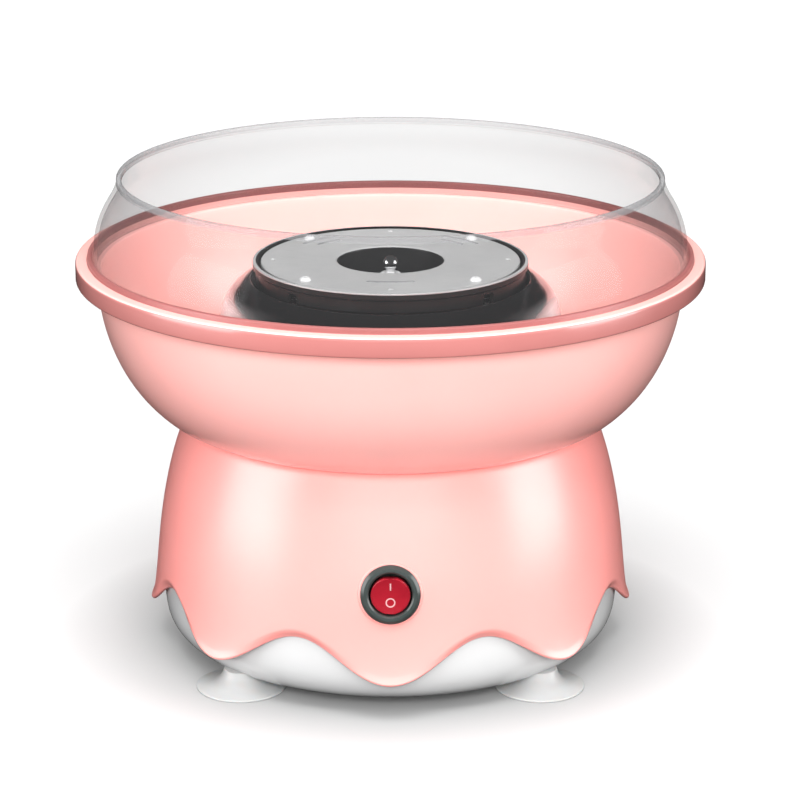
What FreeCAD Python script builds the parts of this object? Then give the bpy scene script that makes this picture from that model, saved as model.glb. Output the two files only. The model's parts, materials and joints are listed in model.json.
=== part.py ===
import FreeCAD, Part
import math
import os

os.makedirs("parts", exist_ok=True)

# Table-top cotton candy machine. Millimetres, +Z up, origin on the table under the spin axis.
# The front, with the rocker switch, faces -Y. The cord inlet is at the back, +Y.

V = FreeCAD.Vector
AXIS = V(0, 0, 0)
UP = V(0, 0, 1)

# ---------------------------------------------------------------- driving dimensions
# Bowl and shield
RIM_R = 135.0            # outer radius of the bowl's flange, half the machine's width
RIM_TOP = 174.4          # top of the flange
RIM_SKIRT = 8.4          # height of the flange's turned-down edge
RIDGE_R = 129.8          # outer radius of the ridge that holds the shield
RIDGE_WIDTH = 2.1
RIDGE_TOP = 176.8
LEDGE_TOP = 171.2        # the shield stands here
BOWL_WALL = 2.2
BOWL_HOLE_R = 78.3       # clears the shroud when the bowl lifts off
BOWL_COLLAR = 8.0        # height of the upstand round the hole
BOWL_OUTLINE = [(90.0, 104.0), (98.0, 107.8), (105.0, 113.5), (110.7, 120.0), (119.3, 135.0),
                (124.0, 150.0), (125.8, 163.0), (126.0, 169.0)]
SHIELD_R = 127.4         # stands 0.3 inside the ridge
SHIELD_WALL = 1.8
SHIELD_TOP = 210.0
SHIELD_LIP = 3.0         # height of the thicker band at the top edge
SHIELD_OUTLINE = [(SHIELD_R, LEDGE_TOP), (SHIELD_R, 176.0), (127.0, 181.0), (125.6, 188.0),
                  (122.2, 196.0), (118.2, 203.0), (116.7, 207.2), (116.7, SHIELD_TOP)]
SHIELD_LIP_INNER = 114.5

# Cover, pan and feet
DECK_TOP = 104.0         # the bowl rests here
DECK_THICK = 2.5
DECK_HOLE_R = 62.0
COVER_WALL = 2.6
COVER_OUTLINE = [(108.4, 8.0), (105.3, 20.0), (103.8, 30.0), (102.3, 45.0), (100.5, 60.0),
                 (97.8, 75.0), (93.9, 90.0), (89.6, 102.0)]
COVER_EDGE_R = 87.4      # where the rounded top edge meets the deck
HEM_LOBES = 8
HEM_MEAN = 25.5          # height of the wavy hem's middle line
HEM_SWING = 8.5          # the hem waves this far above and below it
HEM_CUT = (93.0, 125.0, 60.0)    # inner radius, outer radius and depth of what the hem cuts away
PILLAR_PILOT_TOP = 26.0  # the cover screws' pilot holes end here
PAN_WALL = 2.4
PAN_FLOOR = 4.0
PAN_FLAT_R = 76.0
VENT_SLOT = (22.0, 50.0, 2.0)    # inner end, outer end and half width of an air slot
VENT_SLOTS = 12
PIN_R = 2.8              # pins on the pan that carry the board
PIN_TIP_R = 1.3
PAN_OUTLINE = [(PAN_FLAT_R, PAN_FLOOR), (86.0, 4.7), (91.0, 6.4), (95.2, 9.6), (98.0, 14.0),
               (99.6, 21.0), (99.9, 28.0), (99.8, 38.0)]
FOOT_CIRCLE_R = 90.0
FOOT_R = 19.0
FOOT_SHOULDER = 8.5      # height where the foot meets the pan
FOOT_NECK_R = 3.4
FOOT_BUTTON_R = 4.9
FOOT_BUTTON_HEIGHT = 2.2
FOOT_SEAT = 2.5          # thickness of the pan over a foot
POCKET_R = 9.5
PILLAR_CIRCLE_R = 80.0   # screw pillars under the deck
PILLAR_R = 4.5
PILLAR_FOOT = 12.0
PILLAR_ANGLES = (22.5, 157.5, 202.5, 337.5)

# Rocker switch, in its own frame: x across, y up along the wall, z out of the wall
SWITCH_Z = 56.0
SWITCH_WALL_R = 101.05
SWITCH_TILT = 8.5        # lean of the wall from vertical, degrees
SWITCH_SEAT = 0.2        # flat seat round the hole
SEAT_R = 13.2
SEAT_DEPTH = 3.0         # the seat reaches this far into the wall
BEZEL_R = 12.4
BEZEL_HEIGHT = 2.4
BARREL_R = 9.85
BARREL_BORE_R = 9.0
BARREL_DEPTH = 18.0
CAVITY_DEPTH = 9.0
PANEL_HOLE_R = 10.0
ROCKER_R = 8.2
ROCKER_SWEEP_R = 8.5     # the ends of the rocker are round about its pivot
ROCKER_PIVOT = -2.0
ROCKER_TILT = 11.0       # off position; on is the same tilt the other way
ROCKER_FACE = (7.7, 1.6, 0.7)    # half length, height of its ends and of its middle
ROCKER_LOW = -6.6
TERMINAL_SIZE = (4.8, 0.8, 8.0)
TERMINAL_Y = 4.5
SNAP_SIZE = (2.0, 5.0, 3.0)      # snaps that hold the switch behind the wall
SNAP_Z = -4.8
TRUNNION_R = 1.2
TRUNNION_FIT = 0.05

# Cord inlet at the back
INLET_Z = 45.0
INLET_BORE_R = 3.75
INLET_NECK_R = 6.0
INLET_FLANGE_R = 8.5
INLET_SEAT_Y = 103.4     # flat seat on the wall under the bush's flange
INLET_SEAT_R = 9.2
INLET_SEAT_DEPTH = 2.8
INLET_FLANGE = 3.2
INLET_REACH = 9.0        # how far the bush goes in behind the seat

# Shroud, heater and chassis
SHROUD_WALL = 1.2
SHROUD_OUTLINE = [(76.5, DECK_TOP), (76.0, 120.0), (75.1, 138.0), (74.1, 146.0), (72.2, 153.0),
                  (69.0, 158.3), (65.2, 161.7), (62.2, 163.7), (60.9, 164.2)]
SHROUD_MOUTH_R = 60.2
SHROUD_FLANGE_R = 64.0
SHROUD_SCREW_R = 68.5
SHROUD_SCREW_TIP = 98.0
CHASSIS_R = 74.0
CHASSIS_THICK = 2.0
TRAY_Z = 128.0
TRAY_R = 66.0
TRAY_THICK = 1.0
POST_CIRCLE_R = 52.0
POST_ANGLES = (90.0, 210.0, 330.0)
HEATER_RING_R = 44.0
HEATER_TUBE_R = 3.2
HEATER_Z = 140.0
HEATER_GAP = 18.5        # half the open angle of the ring, at the -X side
HEATER_BEND_R = 8.0
HEATER_LEG_END = 116.0
WIRE_R = 1.2
MOTOR_WIRE_R = 0.9

# Motor
MOTOR_R = 19.5
MOTOR_WALL = 1.5
MOTOR_LOW = 56.0
MOTOR_TOP = 94.0
SHAFT_R = 2.0
BUSH_FIT = 0.05
BRACKET_THICK = 1.5
DAMPER_CIRCLE_R = 30.0
DAMPER_ANGLES = (30.0, 150.0, 270.0)
MOTOR_SCREW_R = 12.0     # circle of the two holes in the top of the can
MAGNET_R = 15.0
MAGNET_GAP = 9.0
CORE_R = 14.2
CORE_LOW = 66.0
CORE_HIGH = 86.0
CORE_SLOTS = 12
SLOT_SIZE = (4.0, 2.2, 30.0)
COIL_LOWS = (62.4, 86.1)
COMMUTATOR_LOW = 57.2
COMMUTATOR_HIGH = 62.0
COMMUTATOR_R = 5.0
BRUSH_SIZE = (6.0, 3.0, 2.6)
BRUSH_X = 8.2
BRUSH_Z = 58.4
FAN_R = 28.0
FAN_LOW = 39.0
FAN_HIGH = 47.0
FAN_HUB_R = 6.0
FAN_BLADE = (11.0, 1.2)  # width and thickness
FAN_PITCH = 28.0
FAN_BLADES = 6

# Spinner head
HEAD_R = 59.3
HEAD_TOP = 171.8
DISH_FLOOR = 150.0
DISH_WALL_R = 58.2
DISH_LEDGE = 169.0       # the plate sits here
DISH_MOUTH_R = 54.6
RING_INNER_R = 57.2      # the ring round the plate
PLATE_R = 55.8
PLATE_TOP = 171.4
WELL_R = 22.8
WELL_LOW = 160.0
HUB_R = 7.0
HUB_LOW = 144.0
HUB_TOP = 161.0
PLATE_SCREW_CIRCLE_R = 50.5
CORNERS = (45.0, 135.0, 225.0, 315.0)
PORT_WIDTH = 5.6
PORT_LOW = 160.0
PORT_HIGH = 167.0
SCREEN_R = 54.2
SCREEN_WALL = 0.8
SCREEN_TOP = 167.4
GRUB_Z = 147.0
GRUB_LENGTH = 4.8
NUT_R = 4.6              # across its corners, from the middle
NUT_HEIGHT = 3.8
CAP_R = 3.4              # domed cap on the shaft's top end
CAP_LOW = 168.2
CAP_Z = 169.6
SHAFT_LOW = 37.0
SHAFT_TOP = 170.5

# Electrical parts on the pan
BLOCK = V(0, 68.0, PAN_FLOOR + PAN_WALL)
BLOCK_SIZE = (28.0, 9.0, 11.0)
BOARD_Z = 22.0
BOARD_SIZE = (34.0, 24.0, 1.6)
BOARD_CENTRE = V(44.0, 40.0, 0)
BOARD_PINS = (V(31.0, 32.0, 0), V(57.0, 48.0, 0))

# Screws
M3_SHANK_R = 1.5
M3_HEAD_R = 2.6
SCREW_HEAD = 1.6         # height of a screw's head
PLATE_SCREW_HEAD_R = 2.5
PLATE_SCREW_HEAD = 1.5
PLATE_SCREW_LOW = 161.0

THROUGH = 20.0           # half the length of a cutter that goes through a wall


# ---------------------------------------------------------------- drawing helpers
def at(radius, degrees, z=0.0):
    """Point at a radius and an azimuth: 0 is +X, 270 is the front."""
    angle = math.radians(degrees)
    return V(radius * math.cos(angle), radius * math.sin(angle), z)


def rod(radius, low, high, centre=AXIS):
    """Upright cylinder between two heights."""
    return Part.makeCylinder(radius, high - low, V(centre.x, centre.y, low))


def sleeve(inner, outer, low, high, centre=AXIS):
    """Upright tube between two heights."""
    return rod(outer, low, high, centre).cut(rod(inner, low, high, centre))


def block(size, centre, degrees=0.0):
    """Box of a given size about a centre, turned about a vertical line through it."""
    box = Part.makeBox(size[0], size[1], size[2], V(-size[0] / 2, -size[1] / 2, -size[2] / 2))
    box.rotate(AXIS, UP, degrees)
    box.translate(centre)
    return box


def joined(shapes):
    """One solid from touching or overlapping shapes."""
    first = shapes[0]
    return first.fuse(shapes[1:]).removeSplitter() if len(shapes) > 1 else first


def smooth(points):
    """Smooth curve through (r, z) points of an outline."""
    curve = Part.BSplineCurve()
    curve.interpolate([V(r, 0, z) for r, z in points])
    return curve


def inside(points, wall):
    """The same outline one wall thickness further in, from its last point to its first."""
    curve = smooth(points)
    moved = []
    for r, z in reversed(points):
        along = curve.tangent(curve.parameter(V(r, 0, z)))[0]
        moved.append((r - along.z * wall, z + along.x * wall))
    return moved


def lathe(*runs):
    """Solid turned about Z. Each run is ("curve", points) or ("lines", points), in order round
    the outline; straight lines join one run to the next and the last to the first."""
    edges = []
    pen = runs[-1][1][-1]
    for kind, points in runs:
        corners = [pen, *points] if kind == "lines" else [pen, points[0]]
        for (r0, z0), (r1, z1) in zip(corners, corners[1:]):
            if math.hypot(r1 - r0, z1 - z0) > 1e-6:
                edges.append(Part.LineSegment(V(r0, 0, z0), V(r1, 0, z1)).toShape())
        if kind == "curve":
            edges.append(smooth(points).toShape())
        pen = points[-1]
    return Part.Face(Part.Wire(edges)).revolve(AXIS, UP, 360)


def turned(*points):
    """Solid turned about Z from a polygon of (r, z) points."""
    return lathe(("lines", list(points)))


def pipe(edges, radius):
    """Round tube along a smooth chain of edges."""
    path = Part.Wire(edges)
    first = path.OrderedEdges[0]
    start = first.valueAt(first.FirstParameter)
    along = first.tangentAt(first.FirstParameter)
    section = Part.Wire(Part.Circle(start, along, radius).toShape())
    return path.makePipeShell([section], True, False)


def wire_run(points, radius=WIRE_R):
    """Insulated wire: straight runs between the points, joined by tangent arcs."""
    spots = [V(*point) for point in points]
    edges = []
    pen = spots[0]
    for before, corner, after in zip(spots, spots[1:], spots[2:]):
        into = (corner - before).normalize()
        out = (after - corner).normalize()
        half_turn = into.getAngle(out) / 2
        trim = 0.45 * min((corner - before).Length, (after - corner).Length)
        bend = trim / math.tan(half_turn)
        inward = (out - into).normalize()
        centre = corner + inward * (bend / math.cos(half_turn))
        start = corner - into * trim
        end = corner + out * trim
        edges.append(Part.LineSegment(pen, start).toShape())
        edges.append(Part.Arc(start, centre - inward * bend, end).toShape())
        pen = end
    edges.append(Part.LineSegment(pen, spots[-1]).toShape())
    return pipe(edges, radius)


def screw(centre, tip, seat, head_height=SCREW_HEAD, head_r=M3_HEAD_R):
    """M3 pan-head screw: the shank runs from its tip to the seat, the head lies past the seat."""
    way = 1.0 if seat > tip else -1.0
    top = seat + way * head_height
    shank = rod(M3_SHANK_R, min(tip, seat), max(tip, seat), centre)
    head = rod(head_r, min(seat, top), max(seat, top), centre)
    rim = [edge for edge in head.Edges if abs(edge.CenterOfMass.z - top) < 1e-6]
    return joined([shank, head.makeFillet(0.45 * head_height, rim[:1])])


def save(name, *solids):
    """Write one node: a single solid, or a group of separate ones."""
    shape = solids[0] if len(solids) == 1 else Part.makeCompound(list(solids))
    shape.exportStep(f"parts/{name}.step")


# ---------------------------------------------------------------- bowl and shield
def make_bowl():
    wall_top = BOWL_OUTLINE[-1][1]
    inner = inside(BOWL_OUTLINE, BOWL_WALL)
    floor = DECK_TOP + BOWL_WALL
    ridge_in = RIDGE_R - RIDGE_WIDTH
    web = RIM_TOP - BOWL_WALL
    rim = [(RIDGE_R, wall_top), (RIDGE_R, web), (RIM_R - BOWL_WALL, web),
           (RIM_R - BOWL_WALL, RIM_TOP - RIM_SKIRT), (RIM_R, RIM_TOP - RIM_SKIRT),
           (RIM_R, RIM_TOP - 1.0), (RIM_R - 1.0, RIM_TOP), (RIDGE_R, RIM_TOP),
           (RIDGE_R, RIDGE_TOP - 0.5), (RIDGE_R - 0.5, RIDGE_TOP), (ridge_in + 0.5, RIDGE_TOP),
           (ridge_in, RIDGE_TOP - 0.5), (ridge_in, LEDGE_TOP), (inner[0][0], LEDGE_TOP)]
    hole = [(BOWL_HOLE_R + BOWL_WALL, floor), (BOWL_HOLE_R + BOWL_WALL, DECK_TOP + BOWL_COLLAR),
            (BOWL_HOLE_R, DECK_TOP + BOWL_COLLAR), (BOWL_HOLE_R, DECK_TOP)]
    return lathe(("curve", BOWL_OUTLINE), ("lines", rim), ("curve", inner), ("lines", hole))


def make_shield():
    lip_low = SHIELD_TOP - SHIELD_LIP
    inner = inside(SHIELD_OUTLINE[:-1], SHIELD_WALL)
    lip = [(SHIELD_OUTLINE[-1][0] - 0.6, SHIELD_TOP), (SHIELD_LIP_INNER + 0.6, SHIELD_TOP),
           (SHIELD_LIP_INNER, SHIELD_TOP - 0.6), (SHIELD_LIP_INNER, lip_low)]
    outer = SHIELD_OUTLINE[:-1] + [(SHIELD_OUTLINE[-1][0], SHIELD_TOP - 0.6)]
    return lathe(("curve", outer), ("lines", lip), ("curve", inner))


# ---------------------------------------------------------------- cover, pan, feet
def hem_curve(radius):
    """Closed wavy line of the hem at a radius, with a lobe at the front."""
    count = 12 * HEM_LOBES
    points = []
    for k in range(count):
        azimuth = 360.0 * k / count
        wave = math.cos(math.radians(HEM_LOBES * (azimuth - 270.0)))
        points.append(at(radius, azimuth, HEM_MEAN - HEM_SWING * wave))
    curve = Part.BSplineCurve()
    curve.interpolate(points, PeriodicFlag=True)
    return curve.toShape()


def in_switch_frame(shape):
    """Place a shape drawn in the switch's own frame on the front wall."""
    turn = FreeCAD.Rotation(V(1, 0, 0), 90.0 - SWITCH_TILT)
    shape.Placement = FreeCAD.Placement(V(0, -SWITCH_WALL_R, SWITCH_Z), turn)
    return shape


def make_cover():
    under = DECK_TOP - DECK_THICK
    inner = inside(COVER_OUTLINE, COVER_WALL)
    inner_top = (inner[0][0] - 0.6, under)
    deck = [(COVER_EDGE_R + 1.4, DECK_TOP - 0.7), (COVER_EDGE_R, DECK_TOP), (DECK_HOLE_R, DECK_TOP),
            (DECK_HOLE_R, under), inner_top]
    shell = lathe(("curve", COVER_OUTLINE), ("lines", deck), ("curve", inner[1:]))
    cut_in, cut_out, cut_depth = HEM_CUT
    below = Part.makeRuledSurface(hem_curve(cut_in), hem_curve(cut_out)).extrude(UP * -cut_depth)
    shell = shell.cut(below)
    seat = in_switch_frame(Part.makeCylinder(SEAT_R, SEAT_DEPTH, UP * (SWITCH_SEAT - SEAT_DEPTH)))
    pillars = [rod(PILLAR_R, PILLAR_FOOT, under, at(PILLAR_CIRCLE_R, a)) for a in PILLAR_ANGLES]
    back = V(0, 1, 0)
    inlet_seat = Part.makeCylinder(INLET_SEAT_R, INLET_SEAT_DEPTH,
                                   V(0, INLET_SEAT_Y - INLET_SEAT_DEPTH, INLET_Z), back)
    body = joined([shell, seat, inlet_seat, *pillars])
    cuts = [in_switch_frame(Part.makeCylinder(PANEL_HOLE_R, 2 * THROUGH, UP * -THROUGH)),
            Part.makeCylinder(INLET_NECK_R, 2 * THROUGH, V(0, INLET_SEAT_Y - THROUGH, INLET_Z), back)]
    cuts += [rod(M3_SHANK_R, PILLAR_FOOT, PILLAR_PILOT_TOP, at(PILLAR_CIRCLE_R, a)) for a in PILLAR_ANGLES]
    cuts += [rod(M3_SHANK_R, under, DECK_TOP, at(SHROUD_SCREW_R, a)) for a in CORNERS]
    return body.cut(cuts)


def vent_slot(degrees):
    """Round-ended air slot through the pan's floor."""
    near, far, half = VENT_SLOT
    low, high = PAN_FLOOR - 1.0, PAN_FLOOR + PAN_WALL + 1.0
    middle = at((near + far) / 2, degrees, (low + high) / 2)
    bar = block((far - near, 2 * half, high - low), middle, degrees)
    return joined([bar, rod(half, low, high, at(near, degrees)), rod(half, low, high, at(far, degrees))])


def make_pan():
    inner = inside(PAN_OUTLINE, PAN_WALL)
    shell = lathe(("curve", PAN_OUTLINE), ("curve", inner),
                  ("lines", [(0.0, PAN_FLOOR + PAN_WALL), (0.0, PAN_FLOOR)]))
    top = PAN_OUTLINE[-1][1]
    filled = lathe(("curve", PAN_OUTLINE), ("lines", [(0.0, top), (0.0, PAN_FLOOR)]))
    seat_top = FOOT_SHOULDER + FOOT_SEAT
    feet = [at(FOOT_CIRCLE_R, a) for a in CORNERS]
    seats = [rod(POCKET_R + 2.0, PAN_FLOOR, seat_top, foot).common(filled) for foot in feet]
    bosses = [rod(PILLAR_R, PAN_FLOOR + 1.0, PILLAR_FOOT, at(PILLAR_CIRCLE_R, a)) for a in PILLAR_ANGLES]
    board_pins = []
    for spot in BOARD_PINS:
        board_pins += [rod(PIN_R, PAN_FLOOR + 1.0, BOARD_Z, spot),
                       rod(PIN_TIP_R, BOARD_Z, BOARD_Z + 3.0, spot)]
    body = joined([shell, *seats, *bosses, *board_pins])
    cuts = [vent_slot(360.0 * k / VENT_SLOTS) for k in range(VENT_SLOTS)]
    cuts += [rod(FOOT_BUTTON_R + 0.2, seat_top, seat_top + 3.0, foot) for foot in feet]
    cuts += [rod(POCKET_R, 0.0, FOOT_SHOULDER, foot) for foot in feet]
    cuts += [rod(FOOT_NECK_R, 0.0, seat_top, foot) for foot in feet]
    cuts += [rod(M3_SHANK_R + 0.2, 0.0, PILLAR_FOOT, at(PILLAR_CIRCLE_R, a)) for a in PILLAR_ANGLES]
    cuts += [rod(M3_HEAD_R + 0.6, 0.0, PILLAR_FOOT - 4.0, at(PILLAR_CIRCLE_R, a)) for a in PILLAR_ANGLES]
    return body.cut(cuts)


def make_foot(centre):
    """Soft suction cup with a button neck that holds it in the pan."""
    seat_top = FOOT_SHOULDER + FOOT_SEAT
    top = seat_top + FOOT_BUTTON_HEIGHT
    cup = lathe(("curve", [(FOOT_R, 0.9), (15.0, 1.7), (11.5, 2.7), (9.3, 4.0), (7.8, 6.2),
                           (7.0, FOOT_SHOULDER)]),
                ("lines", [(FOOT_NECK_R, FOOT_SHOULDER), (FOOT_NECK_R, seat_top),
                           (FOOT_BUTTON_R, seat_top), (FOOT_BUTTON_R - 0.8, top), (0.0, top), (0.0, 3.0)]),
                ("curve", [(5.0, 2.7), (11.0, 1.4), (17.2, 0.0)]),
                ("lines", [(FOOT_R, 0.0)]))
    cup.translate(centre)
    return cup


# ---------------------------------------------------------------- rocker switch
def make_switch_housing():
    face = SWITCH_SEAT + BEZEL_HEIGHT
    body = turned((0.0, -BARREL_DEPTH), (BARREL_R, -BARREL_DEPTH), (BARREL_R, SWITCH_SEAT),
                  (BEZEL_R, SWITCH_SEAT), (BEZEL_R, SWITCH_SEAT + 0.9), (BEZEL_R - 1.0, face - 0.5),
                  (BEZEL_R - 1.8, face), (BARREL_BORE_R + 0.5, face), (BARREL_BORE_R, face - 0.5),
                  (BARREL_BORE_R, -CAVITY_DEPTH), (0.0, -CAVITY_DEPTH))
    snaps = [block(SNAP_SIZE, V(side * (BARREL_R + 0.4), 0, SNAP_Z)) for side in (-1, 1)]
    pivot = Part.makeCylinder(TRUNNION_R + TRUNNION_FIT, 2 * THROUGH,
                              V(-THROUGH, 0, ROCKER_PIVOT), V(1, 0, 0))
    return in_switch_frame(joined([body, *snaps]).cut(pivot))


def make_rocker():
    """Rocker drawn level, then tilted to its off position about its trunnions."""
    pivot = V(0, 0, ROCKER_PIVOT)
    tip_y, tip_z, middle = ROCKER_FACE
    belly_y, heel_y = tip_y + 0.2, 2.4
    face = Part.Arc(V(0, tip_y, tip_z), V(0, 0, middle), V(0, -tip_y, tip_z)).toShape()
    corners = [V(0, -tip_y, tip_z), V(0, -belly_y, ROCKER_PIVOT), V(0, -heel_y, ROCKER_LOW),
               V(0, heel_y, ROCKER_LOW), V(0, belly_y, ROCKER_PIVOT), V(0, tip_y, tip_z)]
    sides = [Part.LineSegment(a, b).toShape() for a, b in zip(corners, corners[1:])]
    slab = Part.Face(Part.Wire([face, *sides])).extrude(V(2 * ROCKER_R, 0, 0))
    slab.translate(V(-ROCKER_R, 0, 0))
    body = slab.common(rod(ROCKER_R, -THROUGH, THROUGH))
    sweep = Part.makeCylinder(ROCKER_SWEEP_R, 2 * THROUGH, V(-THROUGH, 0, ROCKER_PIVOT), V(1, 0, 0))
    body = body.common(sweep)
    reach = BARREL_R - 0.35
    trunnion = Part.makeCylinder(TRUNNION_R, 2 * reach, V(-reach, 0, ROCKER_PIVOT), V(1, 0, 0))
    body = joined([body, trunnion])
    body.rotate(pivot, V(1, 0, 0), ROCKER_TILT)
    holder = Part.makeCompound([body])
    return in_switch_frame(holder).Solids[0]


def make_terminals():
    z = -BARREL_DEPTH - TERMINAL_SIZE[2] / 2
    blades = [block(TERMINAL_SIZE, V(0, y, z)) for y in (-TERMINAL_Y, TERMINAL_Y)]
    return [in_switch_frame(Part.makeCompound([blade])).Solids[0] for blade in blades]


def make_inlet_bush():
    """Bush in the back wall that a mains lead passes through, drawn with its seat at z = 0."""
    barb = -COVER_WALL - 2.4
    bush = turned((INLET_BORE_R, INLET_FLANGE), (INLET_BORE_R, -INLET_REACH),
                  (INLET_NECK_R - 1.0, -INLET_REACH), (INLET_NECK_R + 0.9, barb - 0.6),
                  (INLET_NECK_R + 0.9, barb), (INLET_NECK_R, barb), (INLET_NECK_R, 0.0),
                  (INLET_FLANGE_R, 0.0), (INLET_FLANGE_R, INLET_FLANGE - 1.6),
                  (INLET_FLANGE_R - 1.6, INLET_FLANGE))
    bush.rotate(AXIS, V(1, 0, 0), -90.0)
    bush.translate(V(0, INLET_SEAT_Y, INLET_Z))
    return bush


# ---------------------------------------------------------------- shroud, chassis and heater
def make_shroud():
    flange_top = DECK_TOP + SHROUD_WALL
    inner = inside(SHROUD_OUTLINE, SHROUD_WALL)
    mouth = [(SHROUD_MOUTH_R, SHROUD_OUTLINE[-1][1] - 0.5), (SHROUD_MOUTH_R, inner[0][1] - 0.6)]
    foot = [(inner[-1][0], flange_top), (SHROUD_FLANGE_R, flange_top), (SHROUD_FLANGE_R, DECK_TOP)]
    shell = lathe(("curve", SHROUD_OUTLINE), ("lines", mouth), ("curve", inner[:-1]), ("lines", foot))
    return shell.cut([rod(M3_SHANK_R, DECK_TOP, flange_top, at(SHROUD_SCREW_R, a)) for a in CORNERS])


def make_chassis():
    low = DECK_TOP - DECK_THICK - CHASSIS_THICK
    high = low + CHASSIS_THICK
    cuts = [rod(10.0, low, high), rod(6.0, low, high, at(HEATER_RING_R, 180.0))]
    cuts += [rod(M3_SHANK_R, low, high, at(DAMPER_CIRCLE_R, a)) for a in DAMPER_ANGLES]
    cuts += [rod(M3_SHANK_R, low, high, at(POST_CIRCLE_R, a)) for a in POST_ANGLES]
    cuts += [rod(M3_SHANK_R, low, high, at(SHROUD_SCREW_R, a)) for a in CORNERS]
    return rod(CHASSIS_R, low, high).cut(cuts)


def make_tray():
    top = TRAY_Z + TRAY_THICK
    dish = turned((12.0, TRAY_Z), (TRAY_R, TRAY_Z), (TRAY_R, TRAY_Z + 5.0), (TRAY_R - 1.0, TRAY_Z + 5.0),
                  (TRAY_R - 1.0, top), (12.0, top))
    legs = [rod(5.0, TRAY_Z, top, spot) for spot in heater_leg_spots()]
    posts = [rod(M3_SHANK_R, TRAY_Z, top, at(POST_CIRCLE_R, a)) for a in POST_ANGLES]
    return dish.cut([*legs, *posts])


def make_posts():
    """Threaded hexagon pillars that hold the tray above the chassis, with a stud at each end."""
    low = DECK_TOP - DECK_THICK
    posts = []
    for a in POST_ANGLES:
        hexagon = Part.Face(Part.makePolygon([at(3.2, 60.0 * k) for k in range(7)]))
        pillar = hexagon.extrude(V(0, 0, TRAY_Z - low))
        pillar.translate(at(POST_CIRCLE_R, a, low))
        stud = rod(M3_SHANK_R, low - CHASSIS_THICK - 2.0, TRAY_Z + 3.0, at(POST_CIRCLE_R, a))
        posts.append(joined([pillar, stud]))
    return posts


def heater_leg_spots():
    """Where the two ends of the heating tube point straight down."""
    spots = []
    for side in (-1, 1):
        end = at(HEATER_RING_R, 180.0 + side * HEATER_GAP)
        spots.append(end + at(HEATER_BEND_R, 180.0 + side * (HEATER_GAP - 90.0)))
    return spots


def make_heater():
    """Sheathed heating tube: an open ring whose two ends bend down through the tray."""
    high = HEATER_Z
    start = 180.0 + HEATER_GAP
    span = 360.0 - 2 * HEATER_GAP
    ring = Part.Arc(at(HEATER_RING_R, start, high), at(HEATER_RING_R, start + span / 2, high),
                    at(HEATER_RING_R, start + span, high)).toShape()
    bends = []
    legs = []
    for side, foot in zip((-1, 1), heater_leg_spots()):
        end = at(HEATER_RING_R, 180.0 + side * HEATER_GAP, high)
        along = at(1.0, 180.0 + side * (HEATER_GAP - 90.0))
        centre = end - UP * HEATER_BEND_R
        middle = centre + (along + UP) * (HEATER_BEND_R / math.sqrt(2))
        low = V(foot.x, foot.y, high - HEATER_BEND_R)
        bends.append(Part.Arc(end, middle, low).toShape())
        legs.append(Part.LineSegment(low, V(foot.x, foot.y, HEATER_LEG_END)).toShape())
    chain = Part.__sortEdges__([ring, *bends, *legs])
    return pipe(chain, HEATER_TUBE_R)


def make_saddles():
    """Ceramic blocks that carry the heating tube on the tray."""
    tube = Part.makeTorus(HEATER_RING_R, HEATER_TUBE_R + 0.1, V(0, 0, HEATER_Z))
    low = TRAY_Z + TRAY_THICK
    height = HEATER_Z - low
    return [block((12.0, 7.0, height), at(HEATER_RING_R, a, low + height / 2), a).cut(tube)
            for a in (0.0, 90.0, 270.0)]


def make_heater_bushes():
    """Ceramic bushes where the tube's ends pass through the tray."""
    top = TRAY_Z + TRAY_THICK
    bushes = []
    for spot in heater_leg_spots():
        body = turned((HEATER_TUBE_R + 0.1, TRAY_Z - 4.0), (5.0, TRAY_Z - 4.0), (5.0, top),
                      (6.0, top), (6.0, top + 2.0), (HEATER_TUBE_R + 0.1, top + 2.0))
        body.translate(spot)
        bushes.append(body)
    return bushes


def make_cutout():
    """Disc thermostat clipped under the tray, with two blade terminals."""
    spot = at(40.0, 270.0)
    body = joined([rod(8.0, TRAY_Z - 5.0, TRAY_Z, spot), rod(6.0, TRAY_Z - 10.0, TRAY_Z - 5.0, spot)])
    blades = [block((4.0, 0.8, 7.0), spot + V(0, y, TRAY_Z - 13.5)) for y in (-3.5, 3.5)]
    return [body, *blades]


# ---------------------------------------------------------------- motor
def make_motor_can():
    inner = MOTOR_R - MOTOR_WALL
    can = turned((5.0, MOTOR_TOP - MOTOR_WALL), (inner, MOTOR_TOP - MOTOR_WALL), (inner, MOTOR_LOW),
                 (MOTOR_R, MOTOR_LOW), (MOTOR_R, MOTOR_TOP - 1.0), (MOTOR_R - 1.0, MOTOR_TOP),
                 (7.0, MOTOR_TOP), (7.0, MOTOR_TOP + 3.0), (5.0, MOTOR_TOP + 3.0))
    return can.cut([rod(1.3, MOTOR_TOP - MOTOR_WALL, MOTOR_TOP, at(MOTOR_SCREW_R, a))
                    for a in (0.0, 180.0)])


def make_end_cap():
    low = MOTOR_LOW - 2.0
    return turned((4.0, low - 3.0), (7.0, low - 3.0), (7.0, low), (MOTOR_R, low), (MOTOR_R, MOTOR_LOW),
                  (MOTOR_R - MOTOR_WALL, MOTOR_LOW), (MOTOR_R - MOTOR_WALL, MOTOR_LOW + 0.8),
                  (4.0, MOTOR_LOW + 0.8))


def make_magnets():
    ring = sleeve(MAGNET_R, MOTOR_R - MOTOR_WALL, CORE_LOW - 2.0, CORE_HIGH + 2.0)
    gap = block((3 * MOTOR_R, MAGNET_GAP, 2 * (CORE_HIGH - CORE_LOW)), UP * ((CORE_LOW + CORE_HIGH) / 2))
    return ring.cut(gap).Solids


def make_brushes():
    return [block(BRUSH_SIZE, V(side * BRUSH_X, 0, BRUSH_Z)) for side in (-1, 1)]


def make_bush(low, high, outer):
    return sleeve(SHAFT_R + BUSH_FIT, outer, low, high)


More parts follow.
